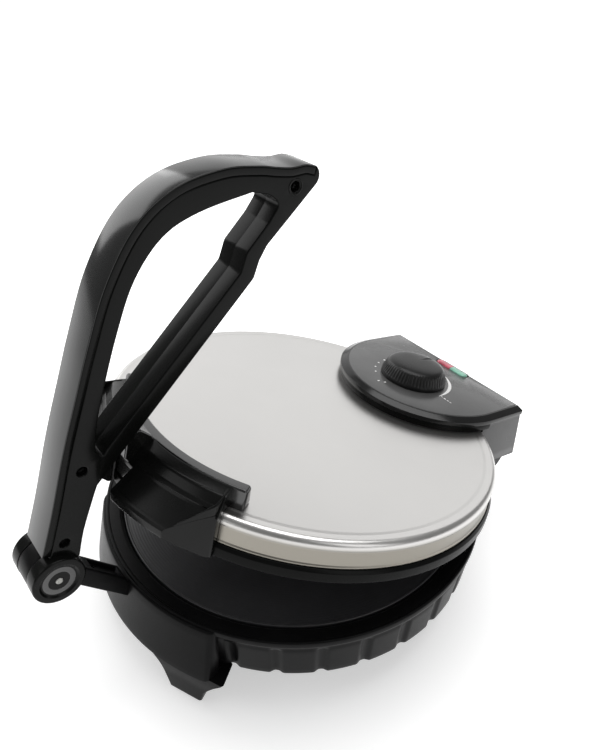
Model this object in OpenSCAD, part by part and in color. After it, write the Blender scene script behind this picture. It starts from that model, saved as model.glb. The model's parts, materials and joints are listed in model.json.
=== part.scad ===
/* [Cooking plates] */
// Diameter of both cooking plates
plate_d = 254; // [240:1:270]
// Thickness of a cooking plate at its face
plate_t = 4; // [3:0.5:5]
// Depth of the lower plate's face below the base rim
plate_sink = 1.5; // [1:0.25:2.5]
// Height of the upper plate's face above the base rim, lid closed
plate_lift = 0.5; // [0.5:0.25:1.5]
// Radius of the heating coil's loop
coil_r = 86; // [70:1:95]
// Radius of the heating coil's tube
coil_tube_r = 3.3; // [2.5:0.1:3.6]

/* [Base] */
// Distance of the base rim's outside from the plate's edge
rim_out = 13; // [12:0.5:16]
// Height of the base rim above the table
rim_z = 72; // [68:1:80]
// Distance that the skirt's foot lies inside the rim
skirt_in = 4.5; // [3:0.5:6]
// Height of the skirt's lower edge above the table
skirt_z = 34; // [31:1:38]
// Wall thickness of the base housing
base_wall = 2.6; // [2:0.1:3.2]
// Number of grooves round the skirt
flute_n = 30; // [20:1:36]
// Depth of a groove in the skirt
flute_depth = 1.8; // [0.5:0.1:2]
// Width of a groove in the skirt
flute_w = 5; // [3:0.5:7]
// Distance that the front panel's foot bulges beyond the rim
front_out = 10.5; // [7:0.5:12]
// Height of the front panel's lower edge above the table
front_z = 30; // [27:1:32]
// Half angle of the front panel
front_half_angle = 32.5; // [30:0.5:35]
// Angle between the front line and a front foot
front_foot_angle = 23.5; // [22:0.5:26]
// Angle between the back line and a rear foot
rear_foot_angle = 42; // [38:1:46]
// Width of a foot at its top
foot_top_w = 52; // [46:1:54]
// Width of a foot at the table
foot_bottom_w = 23; // [20:1:28]
// Depth of a foot towards the middle
foot_depth = 17; // [14:1:20]
// Radius of a rubber foot pad
pad_r = 6.5; // [5:0.5:7]
// Height that a rubber pad stands out of its foot
pad_stand = 1.5; // [1:0.25:2.5]
// Radius of the cord hole in its gland
cord_hole_r = 3.6; // [3:0.1:4]

/* [Lid] */
// Opening angle of the lid at rest
lid_tilt = 13.5; // [10:0.5:14]
// Distance that the black lid ring stands out beyond the base rim
ring_out = 2; // [1:0.5:3]
// Height of the black lid ring
ring_h = 9; // [8:0.5:11]
// Gap between base rim and lid ring, lid closed
lid_gap = 0.5; // [0.3:0.1:1]
// Distance that the steel side band lies inside the lid ring
band_in = 2.6; // [2:0.2:3]
// Height of the steel lid's flat top above the base rim, lid closed
lid_h = 28; // [26:1:30]
// Radius of the rolled edge of the steel lid
ridge_round = 4; // [3:0.5:5]
// Thickness of the steel sheet
sheet_t = 0.8; // [0.6:0.1:1.2]

/* [Hinge] */
// Distance of the hinge axis behind the base rim
hinge_out = 6; // [5:0.5:8]
// Depth of the hinge axis below the base rim
hinge_drop = 4; // [3:0.5:5]
// Radius of the hinge pin
hinge_pin_r = 3; // [2.5:0.1:3.5]
// Outer radius of the hinge knuckles
knuckle_r = 6.8; // [6:0.1:7]
// Radius of the rounded back of the hinge bracket
bracket_back_r = 28.5; // [24:0.5:28.5]
// Distance that the hinge bracket's side lies inside the panel's side
bracket_inset = 6; // [5:0.5:9]

/* [Press collar] */
// Distance that the collar's inner edge lies inside the steel band
collar_in = 18.4; // [16:0.2:20]
// Width of the collar's flat top
collar_crest_w = 8; // [7:0.5:10]
// Height of the collar above the steel top
collar_rise = 13.5; // [12:0.5:14.5]
// Half angle of the collar's top
collar_half_angle = 34.5; // [33:0.5:36]
// Half angle of the collar's deep outer wall
wall_half_angle = 30.5; // [29:0.5:32]
// Distance that the deep wall stands out beyond the lid ring
collar_wall_out = 2.6; // [2.4:0.1:4]
// Height of the deep wall's shoulder above the base rim
shoulder_z = 30; // [28.5:0.5:31]
// Distance that the thumb lobes stand out beyond the deep wall
lobe_out = 13.8; // [12:0.2:15]
// Height of a lobe's front edge above the base rim
lobe_front_z = 17; // [16:0.5:19]
// Thickness of a lobe's front edge
lobe_edge = 6.5; // [5:0.5:8]
// Wall thickness of the lobes
lobe_wall = 2.4; // [2:0.1:3]
// Depth of the lobes' recessed top
lobe_recess = 1.2; // [0.6:0.1:1.5]
// Half width of the slot for the lever
slot_half_w = 13.5; // [13:0.25:15]
// Width of the press boss that runs in the lever's channel
boss_w = 15; // [12:0.5:16]

/* [Lever] */
// Distance of the lever pivot in front of the base rim
pivot_out = 45; // [43:0.5:50]
// Height of the lever pivot above the base rim
pivot_rise = 40; // [39:0.5:42]
// Width of the lever
lever_w = 24; // [22:0.5:25]
// Radius of the pivot barrel
barrel_r = 16.2; // [15.5:0.1:17]
// Length of the pivot barrel
barrel_len = 33.6; // [32:0.2:36]
// Thickness of the grip cover
cover_t = 5; // [4:0.5:6]
// Wall thickness of the lever
lever_wall = 2.8; // [2.4:0.1:3.2]
// Radius of the lever pin
lever_pin_r = 3; // [2.6:0.1:3.4]
// Radius of the pin's bright end
pin_nose_r = 1.7; // [1.4:0.1:2]
// Radius of the screw holes in the lever's side
lever_hole_r = 3; // [2.6:0.1:3.3]
// Width of the bracket's tongue
tongue_w = 14; // [12:0.5:14.5]
// Thickness of the bracket's tongue
tongue_t = 12.4; // [11.5:0.1:13.5]

/* [Control housing] */
// Radius of the panel's round front
panel_r = 72; // [70:1:73]
// Distance of the panel's round centre in front of the hinge axis
panel_front = 18; // [16:1:20]
// Distance of the panel's back edge behind the hinge axis
panel_behind = 22; // [21:0.5:24]
// Height of the panel's top above the base rim, lid closed
panel_top = 39; // [38:0.5:41]
// Thickness of the panel
panel_t = 6; // [5:0.5:7]
// Width of the panel's bevel
bevel = 5; // [3:0.5:6]
// Height of the panel's bevel
bevel_h = 2.4; // [1.5:0.1:3.5]
// Wall thickness of the housing
housing_wall = 2.5; // [2:0.1:3]
// Depth of the housing's lower edge below the base rim
housing_drop = 9; // [7:0.5:10]
// Distance that the housing's back wall leans out
housing_lean = 13; // [12:0.5:14]
// Radius of the knob
knob_r = 26; // [24:0.5:27]
// Distance of the knob's axis in front of the hinge axis
knob_front = 35; // [33:0.5:36]
// Height of the knob above the panel
knob_h = 16.5; // [14:0.5:17]
// Number of flutes round the knob
knob_flutes = 36; // [24:1:40]
// Length of the indicator window
window_len = 32; // [28:1:36]
// Width of the indicator window
window_w = 7.5; // [6:0.5:8.5]
// Distance of the window's middle from the panel's back edge
window_inset = 6.5; // [6:0.5:8]

/* [Fits] */
// Radial clearance of a pin in its bore
run = 0.05; // [0.03:0.01:0.08]
// Gap between pieces that move past each other
gap = 0.4; // [0.3:0.05:0.6]
// Gap between pieces that are screwed together
seat = 0.05; // [0.02:0.01:0.1]

/* [Hidden] */

big = 400;
eps = 0.01;
smooth_fn = 96;
plate_r = plate_d / 2;
plate_boss_h = 5.5;
rim_r = plate_r + rim_out;
skirt_r = rim_r - skirt_in;
front_r = rim_r + front_out;
ring_r = rim_r + ring_out;
band_r = ring_r - band_in;
collar_in_r = band_r - collar_in;
collar_crest_r = collar_in_r + collar_crest_w;
collar_wall_r = ring_r + collar_wall_out;
lobe_r = collar_wall_r + lobe_out;
hinge_y = rim_r + hinge_out;
panel_y = hinge_y - panel_front;
panel_back_y = hinge_y + panel_behind;
knob_y = hinge_y - knob_front;
window_y = panel_back_y - window_inset;
bracket_half_w = panel_r - bracket_inset;
pivot_y = -rim_r - pivot_out;
pivot_z = rim_z + pivot_rise;
hinge_z = rim_z - hinge_drop;

// The part is set so that its box is centred on the origin in Y
back_reach = hinge_y + (panel_back_y + housing_lean - hinge_y) * cos(lid_tilt)
    + (hinge_drop - housing_drop) * sin(lid_tilt);
front_reach = barrel_r - pivot_y;
shift_y = (front_reach - back_reach) / 2;

// Leg of the lever: its straight lower edge runs at leg_angle, leg_offset from the pivot
leg_angle = 41;
leg_offset = 17.6;
leg_start = 61;
leg_end = 209;

module placed() {
    translate([0, shift_y, 0]) children();
}

module on_lid() {
    placed() translate([0, hinge_y, hinge_z]) rotate([-lid_tilt, 0, 0])
        translate([0, -hinge_y, -hinge_z]) children();
}

// Same as on_lid, with heights counted from the base rim
module on_rim() {
    on_lid() translate([0, 0, rim_z]) children();
}

module at_pivot() {
    placed() translate([0, pivot_y, pivot_z]) children();
}

// Turns a profile in the plane of Y and Z into a plate from x0 to x1
module across(x0, x1) {
    translate([x0, 0, 0]) rotate([90, 0, 90]) linear_extrude(height = x1 - x0) children();
}

module tube(r_out, r_in, z0, z1) {
    translate([0, 0, z0]) difference() {
        cylinder(r = r_out, h = z1 - z0, $fn = smooth_fn);
        translate([0, 0, -1]) cylinder(r = r_in, h = z1 - z0 + 2, $fn = smooth_fn);
    }
}

module rod(r, z0, z1) {
    translate([0, 0, z0]) cylinder(r = r, h = z1 - z0, $fn = 48);
}

module rod_x(r, x0, x1) {
    translate([x0, 0, 0]) rotate([0, 90, 0]) cylinder(r = r, h = x1 - x0, $fn = 48);
}

// A ring's section swept from angle a0 to a1, counted from +X
module sweep(a0, a1) {
    rotate([0, 0, a0]) rotate_extrude(angle = a1 - a0, $fn = smooth_fn) children();
}

// A screw that points down, with the underside of its head at z = 0
module screw(head_r, head_h, shank_r, length) {
    rod(head_r, 0, head_h);
    translate([0, 0, -length]) cylinder(r = shank_r, h = length + eps, $fn = 32);
}

function arc(r, a0, a1, n, c = [0, 0]) =
    [for (i = [0:n]) c + r * [cos(a0 + (a1 - a0) * i / n), sin(a0 + (a1 - a0) * i / n)]];

// Smooth curve through points, k steps to a span
function spline_at(p0, p1, p2, p3, t) =
    0.5 * (2 * p1 + (p2 - p0) * t + (2 * p0 - 5 * p1 + 4 * p2 - p3) * t * t
    + (3 * p1 - p0 - 3 * p2 + p3) * t * t * t);
function smooth(p, k) = concat(
    [for (i = [0:len(p) - 2], j = [0:k - 1])
        spline_at(p[max(i - 1, 0)], p[i], p[i + 1], p[min(i + 2, len(p) - 1)], j / k)],
    [p[len(p) - 1]]);

// The same curve, moved d to its right-hand side
function side_step(p, i) =
    let (a = p[max(i - 1, 0)], b = p[min(i + 1, len(p) - 1)]) [b[1] - a[1], a[0] - b[0]] / norm(b - a);
function beside(p, d) = [for (i = [0:len(p) - 1]) p[i] + d * side_step(p, i)];
function back(p) = [for (i = [len(p) - 1:-1:0]) p[i]];
function part_of(p, i0, i1) = [for (i = [i0:i1]) p[i]];

// Lever outline, from the pivot, as it stands at rest
tip = [175.6, 198];
nose = [186, 201.4];
nose_r = 7;
nose_from = 48;
leg_dir = [cos(leg_angle), sin(leg_angle)];
leg_up = [-sin(leg_angle), cos(leg_angle)];
function on_leg(along, up) = along * leg_dir + up * leg_up;

grip_back = smooth([[-5, 19], [6, 47], [19, 83], [32, 115], [43, 141.5], [58, 173.5], [78, 200],
    [102, 214], [130, 217.5], [152, 214.5], [164, 211.4], [174, 209.3], [183.4, 209],
    nose + nose_r * [cos(nose_from), sin(nose_from)]], 4);
seam_line = beside(grip_back, cover_t);
leg_under = smooth([on_leg(leg_start, leg_offset), [30.5, 45], [21.5, 25], [16, 8]], 3);
leg_step = [[171, 180.2], [156, 168.2], [150.5, 160.5], on_leg(leg_end, leg_offset)];
loop_grip = smooth([[37.5, 78], [40.5, 92], [47, 111.5], [60.5, 145], [74, 171.5], [92, 190],
    [114, 197.8], [147, 201]], 4);
loop_tip = [[158, 197.5], [165.5, 191], [157, 181], [142, 167.5], [137.5, 156.5]];
loop_leg = [on_leg(leg_start + 22, 28.2), [40.5, 71.5]];
low_hole = [9.2, 22.2];
mid_hole = [27.8, 67.6];
lever_holes = [low_hole, mid_hole, tip];

// Channel under the leg: the press boss of the lid runs in it as the lever folds
channel = [on_leg(36.6, 7.4), on_leg(44.5, 17.6), on_leg(50.5, 22.6), on_leg(56, 24.6),
    on_leg(198, 24.6), on_leg(198, 0), on_leg(30, 0)];

function lever_outline() = concat(seam_line, arc(nose_r, nose_from - 2, -52, 12, nose), leg_step,
    leg_under, [[8, -4], [-12, 4]]);

// Angles between which the barrel is open for the bracket's tongue
barrel_slot_from = -212;
barrel_slot_to = 16;
knuckle_out = barrel_r - 0.2;
cheek_in = tongue_w / 2 + gap;

// Base housing

module base_wall_section() {
    polygon([[rim_r, rim_z], [rim_r, rim_z - 5], [rim_r - 1.4, rim_z - 6.5], [skirt_r, skirt_z],
        [skirt_r - base_wall, skirt_z], [rim_r - 1.4 - base_wall, rim_z - 7],
        [rim_r - base_wall, rim_z - 6], [rim_r - base_wall, rim_z]]);
}

module front_panel_section() {
    polygon([[rim_r - base_wall, rim_z - 1], [rim_r + 1.2, rim_z - 1], [rim_r + 2.2, rim_z - 3],
        [front_r, front_z], [front_r - base_wall, front_z], [rim_r + 2.2 - base_wall, rim_z - 5],
        [rim_r - base_wall, rim_z - 5]]);
}

module front_panel_end(a) {
    sweep(a, a + 1.2) polygon([[skirt_r - base_wall / 2, front_z + 0.7], [front_r - 1.2, front_z + 0.7],
        [rim_r + 1, rim_z - 4], [rim_r - 2, rim_z - 4]]);
}

foot_flare = 3;
foot_flare_h = 6;

module foot(a, r_out, top_z) {
    rotate([0, 0, a]) intersection() {
        tube(r_out, r_out - foot_depth, pad_stand, top_z);
        translate([r_out - 2 * foot_depth, 0, 0]) rotate([90, 0, 90])
            linear_extrude(height = 3 * foot_depth) polygon([
                [-foot_bottom_w / 2, pad_stand], [foot_bottom_w / 2, pad_stand],
                [foot_top_w / 2 - foot_flare, top_z - foot_flare_h], [foot_top_w / 2, top_z + eps],
                [-foot_top_w / 2, top_z + eps], [-foot_top_w / 2 + foot_flare, top_z - foot_flare_h]]);
    }
}

front_foot_r = front_r - 1.3;
rear_foot_r = skirt_r - 0.6;
foot_places = [for (s = [-1, 1]) [-90 + s * front_foot_angle, front_foot_r],
    for (s = [-1, 1]) [90 + s * rear_foot_angle, rear_foot_r]];

module at_pads(z) {
    for (p = foot_places)
        rotate([0, 0, p[0]]) translate([p[1] - foot_depth / 2, 0, z]) children();
}

// Pegs that hold the feet
foot_peg_r = 3;
foot_peg_top = skirt_z + 5;
front_peg_r = rim_r + 1.5;
rear_peg_r = skirt_r - 9.5;

module at_pegs() {
    for (s = [-1, 1]) {
        rotate([0, 0, -90 + s * front_foot_angle]) translate([front_peg_r, 0, 0]) children();
        rotate([0, 0, 90 + s * rear_foot_angle]) translate([rear_peg_r, 0, 0]) children();
    }
}

bracket_seat_z = rim_z - 27;
shank_y = [for (d = [2.4, -0.6, -2.2, -9]) -rim_r - d];
shank_top = [rim_z - 1.4, rim_z - 4.5];
bracket_foot_y = pivot_y + 53.5;
bracket_foot_len = 16;
bracket_foot_half_w = 22;
bracket_screw_x = 13;
bracket_screw_y = bracket_foot_y + 7;
gland_angle = 137;
gland_r = 6;
gland_z = (skirt_z + rim_z) / 2;
gland_out = skirt_r + 9;
gland_in = skirt_r - 6;
cover_screw_r = plate_r - 11;
cover_z = skirt_z + 2.5;
post_angles = [20, 160, 200, 340];
post_top = rim_z - plate_sink - plate_t - plate_boss_h - seat;
skirt_draft = atan((rim_r - 1.4 - skirt_r) / (rim_z - 6.5 - skirt_z));
neck_half_w = bracket_half_w - 6;
neck_z = skirt_z + 4;
neck_top = rim_z - 12;
neck_front_y = hinge_y - 34;
neck_screw_y = neck_front_y + 7;
neck_screw_x = [-44, -18, 18, 44];

module base_housing() color([0.08, 0.08, 0.09]) placed() {
    difference() {
        union() {
            rotate_extrude($fn = smooth_fn) base_wall_section();
            // Floor ledge that the bottom cover screws to
            tube(skirt_r - base_wall / 2, 108, cover_z + seat, cover_z + 3);
            for (a = post_angles)
                rotate([0, 0, a]) translate([cover_screw_r, 0, 0]) rod(4.5, cover_z + 2, post_top);
            sweep(-90 - front_half_angle, -90 + front_half_angle) front_panel_section();
            front_panel_end(-90 - front_half_angle + 0.3);
            front_panel_end(-90 + front_half_angle - 1.5);
            // Sleeves for the pegs of the front feet, joined to the skirt
            intersection() {
                for (s = [-1, 1])
                    rotate([0, 0, -90 + s * front_foot_angle])
                        translate([skirt_r - 1, -foot_peg_r - 2, front_z + 1])
                            cube([front_peg_r - skirt_r + foot_peg_r + 3, 2 * foot_peg_r + 4,
                                foot_peg_top - front_z + 1]);
                cylinder(r = front_r - 3, h = rim_z, $fn = smooth_fn);
            }
            // Shelf that carries the lever bracket
            intersection() {
                translate([-bracket_foot_half_w - 2, -front_r, cover_z + 1])
                    cube([2 * bracket_foot_half_w + 4, bracket_foot_y + bracket_foot_len + 2 + front_r,
                        bracket_seat_z - cover_z - 1 - seat]);
                cylinder(r = front_r - 3, h = rim_z, $fn = smooth_fn);
            }
        }
        // Grooves of the skirt, left out of the front panel
        for (i = [0:flute_n - 1]) {
            turn = 360 / flute_n * (i + 0.5);
            if (cos(turn) < cos(front_half_angle + 3))
                rotate([0, 0, turn - 90]) translate([skirt_r - flute_depth, -flute_w / 2, skirt_z])
                    rotate([0, skirt_draft, 0]) translate([0, 0, -3])
                        cube([flute_w, flute_w, rim_z - skirt_z - 4]);
        }
        // Slot for the lever bracket's tongue, which follows its underside
        translate([0, pivot_y, pivot_z]) across(-tongue_w / 2 - gap, tongue_w / 2 + gap) polygon([
            tongue_low(-20, gap), tongue_low(tongue_len + 22, gap), tongue_to + [26, 20], tongue_to + [-20, 20]]);
        // Room for the bracket's shank, inside the front panel
        translate([-tongue_w / 2 - gap, shank_y[1] - gap, bracket_seat_z - seat])
            cube([tongue_w + 2 * gap, 12, rim_z - bracket_seat_z - 4]);
        for (s = [-1, 1])
            translate([s * bracket_screw_x, bracket_screw_y, 0]) rod(1.5, cover_z + 3, rim_z);
        for (a = post_angles)
            rotate([0, 0, a]) translate([cover_screw_r, 0, 0]) rod(1.5, skirt_z, cover_z + 12);
        // Sockets for the pegs of the feet
        at_pegs() rod(foot_peg_r + seat, 0, foot_peg_top + seat);
        // Hole for the cord gland
        rotate([0, 0, gland_angle]) translate([0, 0, gland_z]) rotate([0, 90, 0])
            rod(gland_r + seat, skirt_r - 12, skirt_r + 12);
        // Room for the rear hinge bracket's neck
        translate([-neck_half_w - gap, neck_front_y, neck_z])
            cube([2 * (neck_half_w + gap), 40, neck_top + gap - neck_z]);
        for (x = neck_screw_x)
            translate([x, neck_screw_y, 0]) rod(1.8, skirt_z, neck_z + 1);
    }
}

// Feet, pegged into the floor ledge and the shelf behind the front panel
module base_feet() color([0.08, 0.08, 0.09]) placed() difference() {
    for (s = [-1, 1]) {
        foot(-90 + s * front_foot_angle, front_foot_r, front_z - seat);
        foot(90 + s * rear_foot_angle, rear_foot_r, skirt_z - seat);
        rotate([0, 0, -90 + s * front_foot_angle]) translate([front_peg_r, 0, 0])
            rod(foot_peg_r, front_z - foot_flare_h, foot_peg_top);
        rotate([0, 0, 90 + s * rear_foot_angle]) translate([rear_peg_r, 0, 0])
            rod(foot_peg_r, skirt_z - foot_flare_h, foot_peg_top);
    }
    at_pads(0) rod(pad_r + seat, -1, pad_stand + 2);
}

module foot_pads() color([0.16, 0.16, 0.17]) placed() at_pads(0) {
    rod(pad_r, 0, pad_stand + 2 - seat);
}

module lower_plate_ring() color([0.06, 0.06, 0.07]) placed() difference() {
    rotate_extrude($fn = smooth_fn) polygon([[plate_r + gap, rim_z - 2.2],
        [plate_r + 3, rim_z - 0.4], [rim_r - base_wall - seat, rim_z - 0.4],
        [rim_r - base_wall - seat, rim_z - 3.4], [plate_r + 3, rim_z - 4],
        [plate_r + 3, rim_z - 10], [plate_r + gap, rim_z - 10]]);
}

module cooking_plate() {
    difference() {
        rotate_extrude($fn = smooth_fn) polygon([[0, 0], [plate_r, 0], [plate_r, -plate_t - 4],
            [plate_r - 3, -plate_t - 4], [plate_r - 3.5, -plate_t], [0, -plate_t]]);
        // Groove that the heating coil is pressed into
        translate([0, 0, -plate_t - coil_tube_r + 1])
            rotate_extrude($fn = smooth_fn) translate([coil_r, 0]) circle(r = coil_tube_r + seat, $fn = 24);
    }
    for (a = post_angles)
        rotate([0, 0, a]) translate([cover_screw_r, 0, 0]) rod(4, -plate_t - plate_boss_h, -plate_t + eps);
}

lead_angles = [102, 78];

module heating_coil(lead) {
    translate([0, 0, -plate_t - coil_tube_r + 1]) {
        sweep(99, 441) translate([coil_r, 0]) circle(r = coil_tube_r, $fn = 24);
        for (a = lead_angles)
            rotate([0, 0, a]) translate([coil_r, 0, -lead]) cylinder(r = coil_tube_r - 0.7, h = lead, $fn = 24);
    }
}

lower_face = rim_z - plate_sink;

module lower_cooking_plate() color([0.1, 0.1, 0.11]) placed()
    translate([0, 0, lower_face]) cooking_plate();

module lower_heating_element() color([0.45, 0.43, 0.42]) placed()
    translate([0, 0, lower_face]) heating_coil(16);

reflector_r = plate_r - 17;

module reflector() {
    difference() {
        union() {
            cylinder(r = reflector_r, h = 1, $fn = smooth_fn);
            tube(reflector_r, reflector_r - 1, 0, 6);
        }
        for (a = lead_angles)
            rotate([0, 0, a]) translate([coil_r, 0, -1]) rod(coil_tube_r + 0.6, 0, 4);
    }
}

lower_reflector_z = lower_face - plate_t - 16;

module lower_heat_reflector() color([0.75, 0.75, 0.76]) placed() {
    translate([0, 0, lower_reflector_z]) reflector();
    // Stand-offs that carry the reflector on the bottom cover
    for (a = [45, 135, 225, 315])
        rotate([0, 0, a]) translate([84, 0, 0]) rod(3, cover_z + seat, lower_reflector_z + eps);
}

module bottom_cover() color([0.3, 0.3, 0.31]) placed() difference() {
    cylinder_disc(skirt_r - base_wall - 1, skirt_z, cover_z);
    for (a = post_angles)
        rotate([0, 0, a]) translate([cover_screw_r, 0, 0]) rod(1.9, skirt_z - 1, cover_z + 1);
    for (x = neck_screw_x)
        translate([x, neck_screw_y, 0]) rod(3.6, skirt_z - 1, cover_z + 1);
    at_pegs() rod(foot_peg_r + gap, skirt_z - 1, cover_z + 1);
    // Air slots in rows
    for (a = [-60:30:60], r = [60, 74])
        rotate([0, 0, a]) translate([r, -9, skirt_z - 1]) cube([4, 18, 6]);
    for (a = [120:30:240], r = [60, 74])
        rotate([0, 0, a]) translate([r, -9, skirt_z - 1]) cube([4, 18, 6]);
}

module cylinder_disc(r, z0, z1) {
    translate([0, 0, z0]) cylinder(r = r, h = z1 - z0, $fn = smooth_fn);
}

module bottom_cover_screws() color([0.7, 0.7, 0.72]) placed()
    for (a = post_angles)
        rotate([0, 0, a]) translate([cover_screw_r, 0, skirt_z - seat]) rotate([180, 0, 0])
            screw(3.4, 2, 1.45, 12);

module cord_gland() color([0.12, 0.12, 0.12]) placed()
    rotate([0, 0, gland_angle]) translate([0, 0, gland_z]) rotate([0, 90, 0]) difference() {
        union() {
            rod(gland_r, gland_in, gland_out);
            rod(gland_r + 2.2, skirt_r + 3.2, skirt_r + 6);
        }
        rod(cord_hole_r, gland_in - 1, gland_out + 1);
    }

module terminal_block() color([0.9, 0.89, 0.84]) placed() {
    rotate([0, 0, gland_angle]) translate([91, -15, cover_z + seat]) difference() {
        cube([14, 30, 11]);
        for (i = [0:2])
            translate([7, 5 + 10 * i, 5]) rod(2, 0, 8);
    }
}

module thermal_fuse() color([0.8, 0.78, 0.72]) placed()
    translate([-40, 0, lower_reflector_z + 1 + seat]) {
        translate([0, 0, 2.4]) rod_x(2.2, -9, 9);
        translate([-11, -3, 0]) cube([22, 6, 1.4]);
    }

// Lever bracket

// Tongue outline, from the pivot
tongue_from = [19, -11.5];
tongue_to = [42, -38.4];
tongue_len = norm(tongue_to - tongue_from);
tongue_dir = (tongue_to - tongue_from) / tongue_len;
tongue_down = [tongue_dir[1], -tongue_dir[0]];
function tongue_low(along, more) = tongue_from + along * tongue_dir + (tongue_t + more) * tongue_down;
bracket_foot_t = 6;

module lever_bracket() color([0.07, 0.07, 0.08]) {
    at_pivot() difference() {
        union() {
            rod_x(knuckle_out, -tongue_w / 2, tongue_w / 2);
            across(-tongue_w / 2, tongue_w / 2) polygon([[0, 0], tongue_from, tongue_to,
                for (p = [[shank_y[0], shank_top[0]], [shank_y[2], shank_top[0]], [shank_y[2], shank_top[1]],
                    [shank_y[3], shank_top[1]], [shank_y[3], bracket_seat_z], [shank_y[1], bracket_seat_z]])
                    p - [pivot_y, pivot_z],
                tongue_low(tongue_len + 20, 0), tongue_low(0, 0)]);
        }
        rod_x(lever_pin_r + run, -big, big);
        // Trough along the tongue's top
        across(-tongue_w / 2 + 3, tongue_w / 2 - 3) polygon([
            tongue_from + 6 * tongue_dir - tongue_down, tongue_to - 3 * tongue_dir - tongue_down,
            tongue_to - 3 * tongue_dir + 2.2 * tongue_down, tongue_from + 6 * tongue_dir + 2.2 * tongue_down]);
    }
    placed() difference() {
        translate([-bracket_foot_half_w, bracket_foot_y, bracket_seat_z])
            cube([2 * bracket_foot_half_w, bracket_foot_len, bracket_foot_t]);
        for (s = [-1, 1])
            translate([s * bracket_screw_x, bracket_screw_y, 0])
                rod(1.8, bracket_seat_z - 1, bracket_seat_z + bracket_foot_t + 1);
    }
}

module lever_bracket_screws() color([0.7, 0.7, 0.72]) placed()
    for (s = [-1, 1])
        translate([s * bracket_screw_x, bracket_screw_y, bracket_seat_z + bracket_foot_t + seat])
            screw(3.2, 2, 1.45, 11);

// Rear hinge bracket: its rounded back stays inside the swing of the control housing

base_knuckle = [bracket_half_w - 21, bracket_half_w - 2];
lid_knuckle = [bracket_half_w / 3, base_knuckle[0] - gap];
bracket_top = -1.7;
bracket_face_y = rim_r + 1.4;

// A piece and its mirror image
module on_both_sides() {
    children();
    mirror([1, 0, 0]) children();
}

module rear_hinge_bracket() color([0.16, 0.16, 0.17]) placed() difference() {
    union() {
        intersection() {
            translate([0, hinge_y, hinge_z]) rod_x(bracket_back_r, -bracket_half_w, bracket_half_w);
            translate([-big / 2, bracket_face_y, 0]) cube([big, big, hinge_z + bracket_top]);
        }
        // Neck that reaches into the base
        translate([-neck_half_w, neck_front_y + gap, neck_z + gap])
            cube([2 * neck_half_w, bracket_face_y + eps - neck_front_y - gap, neck_top - neck_z - gap]);
        translate([0, hinge_y, hinge_z]) on_both_sides() {
            rod_x(knuckle_r, base_knuckle[0], base_knuckle[1]);
            across(base_knuckle[0], base_knuckle[1]) polygon([[bracket_face_y - hinge_y, -12], [knuckle_r, -12],
                [knuckle_r, 0], [bracket_face_y - hinge_y, 2]]);
        }
    }
    translate([0, hinge_y, hinge_z]) {
        rod_x(hinge_pin_r + run, -big, big);
        on_both_sides() rod_x(knuckle_r + gap, lid_knuckle[0] - gap, lid_knuckle[1] + gap);
    }
    for (x = neck_screw_x)
        translate([x, neck_screw_y, 0]) rod(1.5, skirt_z, neck_z + 12);
}

module hinge_bracket_screws() color([0.7, 0.7, 0.72]) placed()
    for (x = neck_screw_x)
        translate([x, neck_screw_y, cover_z]) rotate([180, 0, 0]) screw(3.1, 2, 1.45, 12);

module hinge_pin() color([0.72, 0.72, 0.74]) placed() translate([0, hinge_y, hinge_z])
    rod_x(hinge_pin_r, -bracket_half_w - 1.6, bracket_half_w + 1.6);

module hinge_pin_clips() color([0.4, 0.4, 0.42]) placed() translate([0, hinge_y, hinge_z])
    for (s = [-1, 1])
        difference() {
            translate([s * (bracket_half_w + 0.9), 0, 0]) rod_x(5, -0.5, 0.5);
            rod_x(hinge_pin_r + 0.01, -big, big);
        }

// Lid, with heights counted from the base rim, lid closed

module lid_cover() color([0.82, 0.81, 0.79]) on_rim() difference() {
    rotate_extrude($fn = smooth_fn) polygon(concat([[0, lid_h]],
        arc(ridge_round, 90, 0, 10, [band_r - ridge_round, lid_h - ridge_round]),
        [[band_r, ring_top + seat], [band_r - sheet_t, ring_top + seat]],
        arc(ridge_round - sheet_t, 0, 90, 10, [band_r - ridge_round, lid_h - ridge_round]),
        [[0, lid_h - sheet_t]]));
    for (a = collar_screw_angles)
        rotate([0, 0, a]) translate([collar_screw_r, 0, 0]) rod(1.9, lid_h - 3, lid_h + 1);
    translate([0, knob_y, 0]) rod(7, lid_h - 3, lid_h + 1);
    for (p = panel_screw_places)
        translate([p[0], p[1], 0]) rod(2, lid_h - 3, lid_h + 1);
    for (s = [-1, 1], y = arm_screw_y)
        translate([s * arm_x, y, 0]) rod(1.8, lid_h - 3, lid_h + 1);
}

ring_top = lid_gap + ring_h;
collar_screw_angles = [-90 - 25, -90 - 10, -90 + 10, -90 + 25];
collar_screw_r = collar_in_r + collar_crest_w / 2;
panel_screw_places = [for (a = [-139, -111, -69, -41])
    [(panel_r - 6) * cos(a), panel_y + (panel_r - 6) * sin(a)]];
ring_screw_angles = [15, 75, 105, 165, 195, 255, 285, 345];
ring_screw_r = plate_r + 4.6;

module lid_ring() color([0.06, 0.06, 0.07]) on_rim() difference() {
    rotate_extrude($fn = smooth_fn) polygon([[plate_r + gap, lid_gap + 0.4], [ring_r - 1.2, lid_gap],
        [ring_r, lid_gap + 1.2], [ring_r - 0.4, ring_top - 2], [ring_r - 1.6, ring_top],
        [band_r - 2.5, ring_top], [band_r - 2.5, ring_top + 4], [band_r - 5, ring_top + 4],
        [band_r - 5, lid_gap + 5], [plate_r + gap, lid_gap + 5]]);
    for (a = ring_screw_angles)
        rotate([0, 0, a]) translate([ring_screw_r, 0, 0]) rod(1.5, lid_gap + 1.6, lid_gap + 8);
}

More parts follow.
